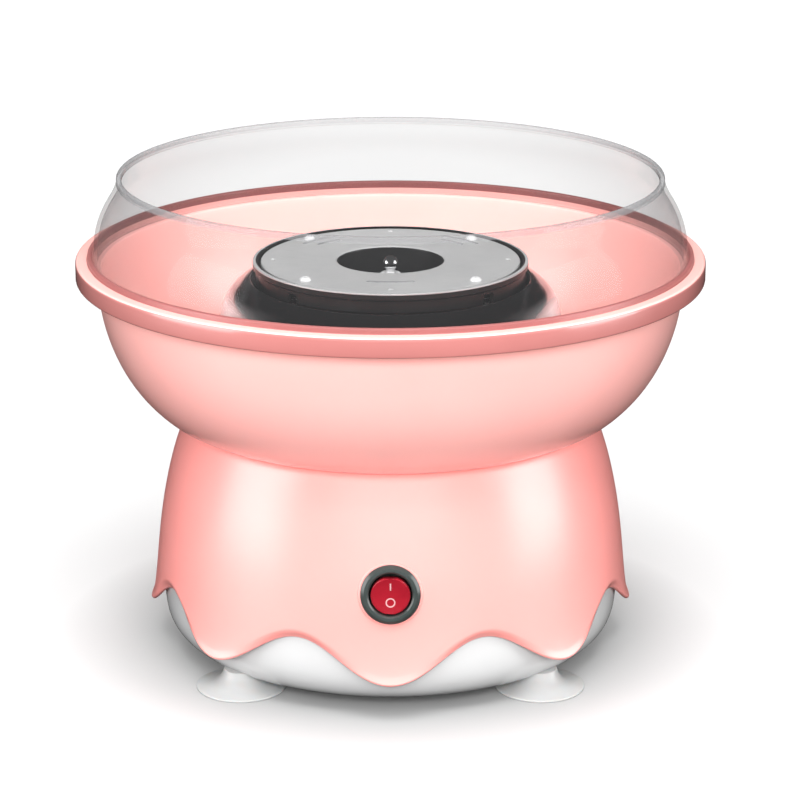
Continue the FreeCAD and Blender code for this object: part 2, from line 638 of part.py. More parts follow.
def make_bracket():
    low, high = MOTOR_TOP, MOTOR_TOP + BRACKET_THICK
    arms = [block((DAMPER_CIRCLE_R, 13.0, BRACKET_THICK), at(DAMPER_CIRCLE_R / 2, a, (low + high) / 2), a)
            for a in DAMPER_ANGLES]
    ends = [rod(6.5, low, high, at(DAMPER_CIRCLE_R, a)) for a in DAMPER_ANGLES]
    body = joined([rod(MOTOR_R, low, high), *arms, *ends])
    cuts = [rod(7.0, low, high)]
    cuts += [rod(1.3, low, high, at(MOTOR_SCREW_R, a)) for a in (0.0, 180.0)]
    cuts += [rod(M3_SHANK_R, low, high, at(DAMPER_CIRCLE_R, a)) for a in DAMPER_ANGLES]
    return body.cut(cuts)


def make_armature():
    """Laminated core with twelve winding slots, wound coils and the commutator."""
    step = 360.0 / CORE_SLOTS
    middle = (CORE_LOW + CORE_HIGH) / 2
    slots = [block(SLOT_SIZE, at(CORE_R - 1.2, step * k, middle), step * k) for k in range(CORE_SLOTS)]
    core = sleeve(SHAFT_R, CORE_R, CORE_LOW, CORE_HIGH).cut(slots)
    coils = [turned((5.0, low), (10.0, low), (10.8, low + 1.0), (10.8, low + 2.5), (10.0, low + 3.5),
                    (5.0, low + 3.5)) for low in COIL_LOWS]
    return core, coils, sleeve(SHAFT_R, COMMUTATOR_R, COMMUTATOR_LOW, COMMUTATOR_HIGH)


def make_fan():
    """Axial fan under the motor that draws cool air through the pan."""
    hub = sleeve(SHAFT_R, FAN_HUB_R, FAN_LOW, FAN_HIGH)
    width, thick = FAN_BLADE
    root = FAN_HUB_R - 1.0
    blades = []
    for k in range(FAN_BLADES):
        blade = Part.makeBox(FAN_R - root, width, thick, V(root, -width / 2, -thick / 2))
        blade.rotate(AXIS, V(1, 0, 0), FAN_PITCH)
        blade.translate(UP * ((FAN_LOW + FAN_HIGH) / 2))
        blade.rotate(AXIS, UP, 360.0 * k / FAN_BLADES)
        blades.append(blade)
    return joined([hub, *blades]).cut(rod(SHAFT_R, FAN_LOW, FAN_HIGH))


# ---------------------------------------------------------------- spinner head
def make_dish():
    floor = DISH_FLOOR + 2.0
    inner = DISH_WALL_R - 2.0
    body = turned((SHAFT_R, HUB_LOW), (HUB_R, HUB_LOW), (HUB_R, DISH_FLOOR),
                  (DISH_WALL_R - 1.0, DISH_FLOOR),
                  (DISH_WALL_R, DISH_FLOOR + 1.0), (DISH_WALL_R, DISH_LEDGE - 0.8), (HEAD_R, DISH_LEDGE),
                  (HEAD_R, HEAD_TOP - 0.6), (HEAD_R - 0.6, HEAD_TOP), (RING_INNER_R + 0.5, HEAD_TOP),
                  (RING_INNER_R, HEAD_TOP - 0.5), (RING_INNER_R, DISH_LEDGE), (DISH_MOUTH_R, DISH_LEDGE),
                  (DISH_MOUTH_R, DISH_LEDGE - 1.4), (inner, DISH_LEDGE - 3.0),
                  (inner, floor), (HUB_R, floor), (HUB_R, HUB_TOP), (SHAFT_R, HUB_TOP))
    pillars = [rod(2.8, floor, DISH_LEDGE, at(PLATE_SCREW_CIRCLE_R, a)) for a in CORNERS]
    middle = (PORT_LOW + PORT_HIGH) / 2
    ports = [block((8.0, PORT_WIDTH, PORT_HIGH - PORT_LOW), at(DISH_WALL_R, a, middle), a)
             for a in CORNERS]
    taps = [rod(M3_SHANK_R, PORT_LOW, DISH_LEDGE, at(PLATE_SCREW_CIRCLE_R, a)) for a in CORNERS]
    grub = Part.makeCylinder(M3_SHANK_R, HUB_R + 1.0, V(0, 0, GRUB_Z), V(1, 0, 0))
    return joined([body, *pillars]).cut([*ports, *taps, grub])


def make_plate():
    body = turned((WELL_R, WELL_LOW), (WELL_R + 1.4, WELL_LOW), (WELL_R + 1.4, DISH_LEDGE),
                  (PLATE_R, DISH_LEDGE), (PLATE_R, PLATE_TOP - 0.4), (PLATE_R - 0.4, PLATE_TOP),
                  (WELL_R + 0.6, PLATE_TOP), (WELL_R, PLATE_TOP - 0.6))
    return body.cut([rod(M3_SHANK_R, DISH_LEDGE, PLATE_TOP, at(PLATE_SCREW_CIRCLE_R, a)) for a in CORNERS])


def make_nuts():
    """Washer, hexagon nut and domed cap nut on the top end of the shaft."""
    washer = sleeve(SHAFT_R, 6.0, HUB_TOP, HUB_TOP + 0.8)
    flats = Part.Face(Part.makePolygon([at(NUT_R, 60.0 * k, HUB_TOP + 0.8) for k in range(7)]))
    nut = flats.extrude(UP * NUT_HEIGHT).cut(rod(SHAFT_R, HUB_TOP, HUB_TOP + 2 * NUT_HEIGHT))
    dome = Part.makeSphere(CAP_R, UP * CAP_Z).common(rod(CAP_R, CAP_LOW, CAP_Z + CAP_R))
    cap = joined([dome, rod(CAP_R - 0.5, CAP_LOW, CAP_Z)]).cut(rod(SHAFT_R, CAP_LOW, SHAFT_TOP))
    return washer, nut, cap


# ---------------------------------------------------------------- electrical parts and wiring
def make_terminal_block():
    """Screw terminal strip on the pan's floor, with its clamp screws."""
    middle = BLOCK + UP * (BLOCK_SIZE[2] / 2)
    body = block(BLOCK_SIZE, middle)
    top = BLOCK.z + BLOCK_SIZE[2]
    spots = [BLOCK + V(x, -2.0, 0) for x in (-9.0, -2.0, 9.0)]
    screws = [rod(1.5, top - 3.0, top + 0.6, spot) for spot in spots]
    return body.cut([rod(1.5, top - 3.0, top, spot) for spot in spots]), screws


def make_board():
    """Rectifier board for the motor, with four diodes and a capacitor."""
    top = BOARD_Z + BOARD_SIZE[2]
    plate = block(BOARD_SIZE, BOARD_CENTRE + UP * (BOARD_Z + BOARD_SIZE[2] / 2))
    plate = plate.cut([rod(1.4, BOARD_Z, top, spot) for spot in BOARD_PINS])
    diodes = [Part.makeCylinder(1.3, 5.2, BOARD_CENTRE + V(-4.0, y, top + 1.3), V(1, 0, 0))
              for y in (-9.0, -4.5, 0.0, 4.5)]
    capacitor = rod(4.5, top, top + 13.0, BOARD_CENTRE + V(11.0, -5.0, 0))
    return plate, diodes, capacitor


def make_wires():
    """Insulated wires, each with its real route inside the cover."""
    strip = BLOCK.z + BLOCK_SIZE[2]
    board = BOARD_Z + BOARD_SIZE[2]
    live = [(-6, 70, strip + 0.5), (-6, 68, 28), (-26, 62, 34), (-54, 38, 36), (-66, 4, 34), (-60, -30, 34),
            (-38, -52, 38), (-12, -56, 42), (0, -64, 46), (0, -75.4, 47.8)]
    switched = [(0, -74.2, 56.6), (-2, -62, 60), (-14, -48, 72), (-34, -32, 82), (-45, -12, 88),
                (-44, -2, 96), (-44, -1.5, 105), (-38, -10, 107), (-24, -34, 106), (-6, -45, 104.5),
                (0, -43.5, 110.0)]
    heater = [(0, -36.5, 110.0), (-4, -35, 107), (-22, -18, 109), (-38, -9, 109), (-44.3, -6.4, 114.9)]
    neutral = [(-44.3, 6.4, 115.4), (-44, 5, 109), (-46, 3, 98), (-52, 2, 84), (-60, 8, 66), (-54, 34, 54),
               (-28, 58, 50), (2, 68, 38), (3, 70, 28), (3, 70, strip + 0.3)]
    supply = [[(9 + dx, 70, strip + 0.5), (9 + dx, 69 + 0.3 * dx, 27), (20 + dx, 62 + 0.6 * dx, 32),
               (32 + dx, 52 + 0.6 * dx, 31), (34 + dx, 49, board + 0.9)] for dx in (0, 4)]
    first = [(30, 41, board + 0.4), (31, 42, 33), (27, 36, 44), (20, 26, 50.3), (10, 14, 50.3),
             (7.5, 10.5, 53.1)]
    second = [(39, 31, board + 0.4), (39, 33, 33), (35, 29, 44), (27, 19, 50.3), (15, 8, 50.3),
              (11.5, 6, 53.1)]
    return {
        "live_wire": [wire_run(live)],
        "switch_wire": [wire_run(switched)],
        "heater_wire": [wire_run(heater)],
        "neutral_wire": [wire_run(neutral)],
        "board_wires": [wire_run(route) for route in supply],
        "motor_wires": [wire_run(route, MOTOR_WIRE_R) for route in (first, second)],
    }


def build_shells():
    save("bowl", make_bowl())
    save("splash_shield", make_shield())
    save("base_cover", make_cover())
    save("bottom_pan", make_pan())
    names = {225.0: "front_left_foot", 315.0: "front_right_foot", 45.0: "rear_right_foot",
             135.0: "rear_left_foot"}
    for angle, name in names.items():
        save(name, make_foot(at(FOOT_CIRCLE_R, angle)))
    screw_seat = PILLAR_FOOT - 4.0
    save("cover_screws", *[screw(at(PILLAR_CIRCLE_R, a), PILLAR_PILOT_TOP - 2.0, screw_seat)
                           for a in PILLAR_ANGLES])


def build_switch_and_inlet():
    save("switch_housing", make_switch_housing())
    save("switch_rocker", make_rocker())
    save("switch_terminals", *make_terminals())
    save("cord_inlet_bush", make_inlet_bush())


def build_heater():
    save("heater_shroud", make_shroud())
    save("chassis_plate", make_chassis())
    save("shroud_screws", *[screw(at(SHROUD_SCREW_R, a), SHROUD_SCREW_TIP, DECK_TOP + SHROUD_WALL)
                            for a in CORNERS])
    save("heater_tray", make_tray())
    save("heater_tray_posts", *make_posts())
    save("heater_element", make_heater())
    save("heater_saddles", *make_saddles())
    save("heater_bushes", *make_heater_bushes())
    save("thermal_cutout", *make_cutout())


def build_motor():
    save("motor_can", make_motor_can())
    save("motor_end_cap", make_end_cap())
    save("motor_magnets", *make_magnets())
    save("motor_brushes", *make_brushes())
    save("upper_motor_bush", make_bush(MOTOR_TOP - MOTOR_WALL, MOTOR_TOP + 3.0, 5.0))
    save("lower_motor_bush", make_bush(MOTOR_LOW - 5.0, MOTOR_LOW + 0.8, 4.0))
    save("motor_bracket", make_bracket())
    low, high = MOTOR_TOP + BRACKET_THICK, DECK_TOP - DECK_THICK - CHASSIS_THICK
    spots = [at(DAMPER_CIRCLE_R, a) for a in DAMPER_ANGLES]
    save("motor_dampers", *[sleeve(M3_SHANK_R, 5.0, low, high, spot) for spot in spots])
    save("motor_bracket_screws", *[screw(spot, high + CHASSIS_THICK + 3.0, MOTOR_TOP) for spot in spots])


def build_spinner():
    save("sugar_dish", make_dish())
    save("head_plate", make_plate())
    save("plate_screws", *[screw(at(PLATE_SCREW_CIRCLE_R, a), PLATE_SCREW_LOW, PLATE_TOP,
                                 PLATE_SCREW_HEAD, PLATE_SCREW_HEAD_R) for a in CORNERS])
    save("outlet_screen", sleeve(SCREEN_R - SCREEN_WALL, SCREEN_R, DISH_FLOOR + 2.0, SCREEN_TOP))
    washer, nut, cap = make_nuts()
    save("hub_washer", washer)
    save("hub_nut", nut)
    save("shaft_cap_nut", cap)
    save("hub_grub_screw", Part.makeCylinder(M3_SHANK_R, GRUB_LENGTH, V(SHAFT_R, 0, GRUB_Z), V(1, 0, 0)))
    save("motor_shaft", rod(SHAFT_R, SHAFT_LOW, SHAFT_TOP))
    core, coils, commutator = make_armature()
    save("armature_core", core)
    save("armature_coils", *coils)
    save("commutator", commutator)
    save("cooling_fan", make_fan())


def build_electrics():
    strip, clamp_screws = make_terminal_block()
    save("terminal_block", strip)
    save("terminal_block_screws", *clamp_screws)
    plate, diodes, capacitor = make_board()
    save("rectifier_board", plate)
    save("rectifier_diodes", *diodes)
    save("board_capacitor", capacitor)
    for name, wires in make_wires().items():
        save(name, *wires)


build_shells()
build_switch_and_inlet()
build_heater()
build_motor()
build_spinner()
build_electrics()
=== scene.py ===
import json
import math

import bmesh
import bpy
import numpy as np
from mathutils import Matrix, Vector


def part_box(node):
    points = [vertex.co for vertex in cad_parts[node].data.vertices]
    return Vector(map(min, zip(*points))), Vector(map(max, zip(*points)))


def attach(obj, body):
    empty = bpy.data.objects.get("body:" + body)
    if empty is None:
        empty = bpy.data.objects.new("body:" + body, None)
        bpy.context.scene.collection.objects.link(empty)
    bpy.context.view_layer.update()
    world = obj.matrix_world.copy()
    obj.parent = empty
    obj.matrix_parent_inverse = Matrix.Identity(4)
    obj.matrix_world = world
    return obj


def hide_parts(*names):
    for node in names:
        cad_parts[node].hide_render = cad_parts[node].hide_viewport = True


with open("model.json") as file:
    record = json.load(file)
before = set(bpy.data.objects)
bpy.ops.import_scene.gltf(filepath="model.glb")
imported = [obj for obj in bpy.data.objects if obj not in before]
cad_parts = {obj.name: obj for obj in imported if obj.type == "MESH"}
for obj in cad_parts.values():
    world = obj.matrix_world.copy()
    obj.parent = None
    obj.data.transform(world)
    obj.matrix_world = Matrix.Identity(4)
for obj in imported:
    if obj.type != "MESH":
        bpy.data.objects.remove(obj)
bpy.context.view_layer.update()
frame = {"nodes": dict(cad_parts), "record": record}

MM = 0.001

# ---------------------------------------------------------------- sizes, in millimetres
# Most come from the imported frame; the rest are details that only the looks need.
TURN_STEPS = 256         # segments round the machine's axis
HEM_LOBES = 8
HEM_SWING = 8.5          # half the height between a lobe and a crest
HEM_BAND = 4.4           # height of the soft rolled band along the hem
HEM_NOSE = 1.0           # radius of the hem's rounded lower edge
HEM_MID = 25.5           # height of the hem's middle line
HEM_TUCK = -0.7          # how far the hem's edge turns in, midway between a lobe and a crest
HEM_FLARE = 1.3          # the edge lies this much further out at a lobe, and further in at a crest
HEM_CURL = 1.6           # power that keeps most of the band's turn near its lower edge
COVER_WALL = 2.6
DECK_HOLE_R = 62.0
DECK_EDGE_R = 88.0
SWITCH_TILT = math.radians(8.5)
SWITCH_HOLE_R = 11.0     # the holes through the cover's wall, which the seat rings frame
INLET_HOLE_R = 7.5
SCREW_CIRCLE_R = 50.5    # the plate's screws and dimples sit on this circle
SCREW_R = 1.5            # shank of a plate screw, and its hole
SHAFT_BORE_R = 2.05      # bore of the washer and the nuts on the shaft
CORNERS = (45.0, 135.0, 225.0, 315.0)    # azimuths of the feet, the outlet ports and the plate's screws


def top_of(node):
    """Highest point of a CAD node, in millimetres."""
    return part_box(node)[1].z / MM


def low_of(node):
    """Lowest point of a CAD node, in millimetres."""
    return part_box(node)[0].z / MM


def radius_of(node):
    """Largest radius of a CAD node about the machine's axis, in millimetres."""
    return max(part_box(node)[1].x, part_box(node)[1].y) / MM


DECK_TOP = low_of("bowl")    # the bowl rests on the cover's deck


# ---------------------------------------------------------------- mesh helpers
def spline(points, count):
    """Natural cubic curve through (r, z) points, as count points."""
    knots = np.array(points, float)
    chord = np.r_[0, np.cumsum(np.hypot(*np.diff(knots, axis=0).T))]
    n = len(knots)
    gaps = np.diff(chord)
    system = np.eye(n)
    right = np.zeros((n, 2))
    for k in range(1, n - 1):
        system[k, k - 1:k + 2] = gaps[k - 1], 2 * (gaps[k - 1] + gaps[k]), gaps[k]
        slope_in = (knots[k] - knots[k - 1]) / gaps[k - 1]
        slope_out = (knots[k + 1] - knots[k]) / gaps[k]
        right[k] = 6 * (slope_out - slope_in)
    bend = np.linalg.solve(system, right)
    found = []
    for s in np.linspace(0, chord[-1], count):
        k = min(int(np.searchsorted(chord, s, side="right")) - 1, n - 2)
        k = max(k, 0)
        a, b, h = chord[k + 1] - s, s - chord[k], gaps[k]
        value = (bend[k] * a ** 3 + bend[k + 1] * b ** 3) / (6 * h)
        value = value + (knots[k] / h - bend[k] * h / 6) * a + (knots[k + 1] / h - bend[k + 1] * h / 6) * b
        found.append((float(value[0]), float(value[1])))
    return found


def shifted(points, wall):
    """The same line moved sideways by a wall thickness, to its left as it runs."""
    line = np.array(points, float)
    along = np.gradient(line, axis=0)
    along /= np.linalg.norm(along, axis=1)[:, None]
    moved = line + wall * np.c_[-along[:, 1], along[:, 0]]
    return [(float(r), float(z)) for r, z in moved]


def rounded(corners, steps=5):
    """Outline with its corners rounded. A corner is (r, z) or (r, z, radius)."""
    line = []
    count = len(corners)
    for k, corner in enumerate(corners):
        here = Vector(corner[:2])
        radius = corner[2] if len(corner) > 2 else 0.0
        if radius <= 0:
            line.append((here.x, here.y))
            continue
        into = (here - Vector(corners[k - 1][:2])).normalized()
        out = (Vector(corners[(k + 1) % count][:2]) - here).normalized()
        half_turn = into.angle(out) / 2
        trim = radius * math.tan(half_turn)
        inward = (out - into).normalized()
        centre = here + inward * (radius / math.cos(half_turn))
        first = here - into * trim - centre
        last = here + out * trim - centre
        for i in range(steps + 1):
            arm = first.slerp(last, i / steps)
            spot = centre + arm.normalized() * radius
            line.append((spot.x, spot.y))
    return line


def finish_mesh(name, bm, body, material, replaces=(), sharp=40.0):
    """Turn a bmesh into a smooth piece that rides on a body, with its edges above the sharp angle kept."""
    bmesh.ops.recalc_face_normals(bm, faces=bm.faces)
    mesh = bpy.data.meshes.new(name)
    bm.to_mesh(mesh)
    bm.free()
    piece = bpy.data.objects.new(name, mesh)
    bpy.context.scene.collection.objects.link(piece)
    mesh.shade_smooth()
    mesh.set_sharp_from_angle(angle=math.radians(sharp))
    mesh.materials.append(material)
    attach(piece, body)
    if replaces:
        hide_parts(*replaces)
    return piece


def add_turned(bm, outline, steps=TURN_STEPS, place=Matrix.Identity(4), closed=True):
    """Add the surface that an outline of (r, z) millimetres sweeps about its own Z axis."""
    rings = []
    for r, z in outline:
        if r < 1e-4:
            rings.append([bm.verts.new(place @ Vector((0, 0, z * MM)))])
            continue
        ring = []
        for k in range(steps):
            a = 2 * math.pi * k / steps
            ring.append(bm.verts.new(place @ Vector((r * math.cos(a) * MM, r * math.sin(a) * MM, z * MM))))
        rings.append(ring)
    pairs = list(zip(rings, rings[1:]))
    if closed:
        pairs.append((rings[-1], rings[0]))
    for low, high in pairs:
        if len(low) == 1 and len(high) == 1:
            continue
        for k in range(steps):
            j = (k + 1) % steps
            if len(low) == 1:
                bm.faces.new((low[0], high[j], high[k]))
            elif len(high) == 1:
                bm.faces.new((low[k], low[j], high[0]))
            else:
                bm.faces.new((low[k], low[j], high[j], high[k]))


def turned(name, outline, body, material, replaces=(), steps=TURN_STEPS, places=None, sharp=40.0):
    """Piece made of one turned surface, or of copies of it at several places."""
    bm = bmesh.new()
    for place in places or [Matrix.Identity(4)]:
        add_turned(bm, outline, steps, place)
    return finish_mesh(name, bm, body, material, replaces, sharp)


def at(radius, degrees, z=0.0):
    """Point in metres from millimetres: azimuth 0 is +X and 270 is the front."""
    a = math.radians(degrees)
    return Vector((radius * math.cos(a), radius * math.sin(a), z)) * MM


def cut_away(piece, cutter_bm):
    """Cut a bmesh's volume out of a piece, and drop the bmesh."""
    bmesh.ops.recalc_face_normals(cutter_bm, faces=cutter_bm.faces)
    mesh = bpy.data.meshes.new("cutter")
    cutter_bm.to_mesh(mesh)
    cutter_bm.free()
    cutter = bpy.data.objects.new("cutter", mesh)
    bpy.context.scene.collection.objects.link(cutter)
    cut = piece.modifiers.new("cut", "BOOLEAN")
    cut.operation = "DIFFERENCE"
    cut.solver = "EXACT"
    cut.object = cutter
    bpy.context.view_layer.update()
    whole = piece.data
    piece.data = bpy.data.meshes.new_from_object(piece.evaluated_get(bpy.context.evaluated_depsgraph_get()))
    piece.modifiers.remove(cut)
    bpy.data.meshes.remove(whole)
    bpy.data.objects.remove(cutter)
    bpy.data.meshes.remove(mesh)


# outer wall of the cover, from below its hem to its deck
COVER_LINE = np.array(spline([(108.4, 8.0), (105.3, 20.0), (103.8, 30.0), (102.3, 45.0), (100.5, 60.0),
                              (97.8, 75.0), (93.9, 90.0), (89.6, 102.0)], 120))
# the two places have their own Z axis pointing out of the wall
SWITCH_PLACE = (Matrix.Translation(Vector((0.0, -101.05, 56.0)) * MM)
                @ Matrix.Rotation(math.radians(90.0) - SWITCH_TILT, 4, "X"))
INLET_PLACE = (Matrix.Translation(Vector((0.0, 103.4, 45.0)) * MM)
               @ Matrix.Rotation(math.radians(-90.0), 4, "X"))


# ---------------------------------------------------------------- materials
class Nodes:
    """A short way to write a node material round one Principled shader."""

    def __init__(self, name):
        self.material = bpy.data.materials.new(name)
        self.material.use_nodes = True
        self.tree = self.material.node_tree
        self.shader = self.tree.nodes["Principled BSDF"]
        self.place = self.tree.nodes.new("ShaderNodeTexCoord").outputs["Object"]

    def set(self, **values):
        """Set plain values on the shader's own sockets."""
        for key, value in values.items():
            self.shader.inputs[key.replace("_", " ")].default_value = value
        return self

    def link(self, output, socket):
        """Feed a node's output into one of the shader's sockets."""
        self.tree.links.new(output, self.shader.inputs[socket])

    def noise(self, scale, detail=4.0, roughness=0.5, stretch=None):
        """Noise value between 0 and 1; stretch scales its three axes."""
        node = self.tree.nodes.new("ShaderNodeTexNoise")
        node.inputs["Scale"].default_value = scale
        node.inputs["Detail"].default_value = detail
        node.inputs["Roughness"].default_value = roughness
        place = self.place
        if stretch:
            mapping = self.tree.nodes.new("ShaderNodeMapping")
            mapping.inputs["Scale"].default_value = stretch
            self.tree.links.new(place, mapping.inputs["Vector"])
            place = mapping.outputs["Vector"]
        self.tree.links.new(place, node.inputs["Vector"])
        return node.outputs["Fac"]

    def range(self, value, low, high, from_low=0.0, from_high=1.0):
        """Map a value to a range."""
        node = self.tree.nodes.new("ShaderNodeMapRange")
        numbers = {"From Min": from_low, "From Max": from_high, "To Min": low, "To Max": high}
        for key, number in numbers.items():
            node.inputs[key].default_value = number
        self.tree.links.new(value, node.inputs["Value"])
        return node.outputs["Result"]

    def mix(self, factor, first, second):
        """Colour between two colours."""
        node = self.tree.nodes.new("ShaderNodeMix")
        node.data_type = "RGBA"
        for socket, value in ((node.inputs[6], first), (node.inputs[7], second)):
            if isinstance(value, tuple):
                socket.default_value = (*value, 1.0)
            else:
                self.tree.links.new(value, socket)
        self.tree.links.new(factor, node.inputs["Factor"])
        return node.outputs[2]

    def combine(self, operation, first, second):
        """Sum or product of two values."""
        node = self.tree.nodes.new("ShaderNodeMath")
        node.operation = operation
        self.tree.links.new(first, node.inputs[0])
        self.tree.links.new(second, node.inputs[1])
        return node.outputs["Value"]

    def edge_on(self, blend):
        """Value that rises from 0 to 1 as the surface turns edge on."""
        node = self.tree.nodes.new("ShaderNodeLayerWeight")
        node.inputs["Blend"].default_value = blend
        return node.outputs["Facing"]

    def bump(self, *layers):
        """Stack bump layers, each a height output with its depth in metres."""
        normal = None
        for height, depth in layers:
            node = self.tree.nodes.new("ShaderNodeBump")
            node.inputs["Distance"].default_value = depth
            node.inputs["Strength"].default_value = 1.0
            self.tree.links.new(height, node.inputs["Height"])
            if normal:
                self.tree.links.new(normal, node.inputs["Normal"])
            normal = node.outputs["Normal"]
        self.link(normal, "Normal")
        return self


def moulded(name, colour, shade, roughness, coat=0.0, coat_roughness=0.1, specular=0.5, grain=0.00001,
            patch=14.0, scatter=0.0):
    """Moulded plastic: a cloudy change of shade, an uneven gloss and a fine orange-peel skin."""
    n = Nodes(name)
    cloud = n.range(n.noise(patch, 5.0), 0.0, 1.0, 0.35, 0.65)
    n.link(n.mix(cloud, colour, shade), "Base Color")
    n.link(n.range(n.noise(60.0, 6.0), roughness * 0.88, roughness * 1.14, 0.3, 0.7), "Roughness")
    n.bump((n.noise(420.0, 2.0), grain), (n.noise(2600.0, 2.0), grain * 0.25))
    n.set(Coat_Weight=coat, Coat_Roughness=coat_roughness, Specular_IOR_Level=specular)
    if scatter:
        n.set(Subsurface_Weight=scatter, Subsurface_Radius=(0.006, 0.003, 0.002), Subsurface_Scale=1.0)
    return n.material


def metal(name, colour, shade, roughness, brush=None, grain=0.000004, patch=40.0, metallic=1.0):
    """Bare or plated metal: faint stains, and brushing lines if the metal has a grain."""
    spread = 0.2             # the share by which the roughness wanders up and down
    n = Nodes(name)
    n.link(n.mix(n.range(n.noise(patch, 6.0), 0.0, 1.0, 0.35, 0.7), colour, shade), "Base Color")
    lines = n.noise(160.0, 5.0, 0.6, brush) if brush else n.noise(300.0, 6.0)
    n.link(n.range(lines, roughness * (1 - spread), roughness * (1 + spread), 0.3, 0.7), "Roughness")
    n.bump((lines, grain))
    n.set(Metallic=metallic)
    return n.material


def chrome_with_painted_reflection():
    """Dark polished chrome with a painted reflection: its colour turns bright where an upright stretch of it
    is seen edge on.
    """
    n = Nodes("shroud_chrome")
    stains = n.range(n.noise(40.0, 6.0), 0.0, 1.0, 0.35, 0.7)
    dark = n.mix(stains, (0.24, 0.24, 0.243), (0.28, 0.28, 0.284))
    painted_reflection = (0.80, 0.80, 0.805)
    # Painted reflection: along the dome's upright edges, as seen, the colour turns bright and less metallic.
    way = n.tree.nodes.new("ShaderNodeSeparateXYZ")
    n.tree.links.new(n.tree.nodes["Texture Coordinate"].outputs["Normal"], way.inputs[0])
    turned_away = n.range(n.edge_on(0.50), 0.0, 1.0, 0.30, 0.68)
    upright = n.range(way.outputs["Z"], 1.0, 0.0, 0.45, 0.75)
    edge = n.combine("MULTIPLY", turned_away, upright)
    n.link(n.mix(edge, dark, painted_reflection), "Base Color")
    n.link(n.range(edge, 1.0, 0.25), "Metallic")
    n.link(n.range(n.noise(300.0, 6.0), 0.10, 0.16, 0.3, 0.7), "Roughness")
    n.bump((n.noise(300.0, 6.0), 0.0000012))
    return n.material


def clear_film(name, colour, shade, least, most, blend):
    """Clear moulded plastic: a faint grey film, denser where it is seen edge on."""
    n = Nodes(name)
    n.link(n.mix(n.noise(9.0, 3.0), colour, shade), "Base Color")
    n.link(n.range(n.noise(90.0, 5.0), 0.04, 0.09, 0.3, 0.7), "Roughness")
    n.bump((n.noise(30.0, 2.0), 0.00001))
    n.link(n.range(n.edge_on(blend), least, most, 0.10, 1.0), "Alpha")
    n.set(Specular_IOR_Level=0.3)
    return n.material


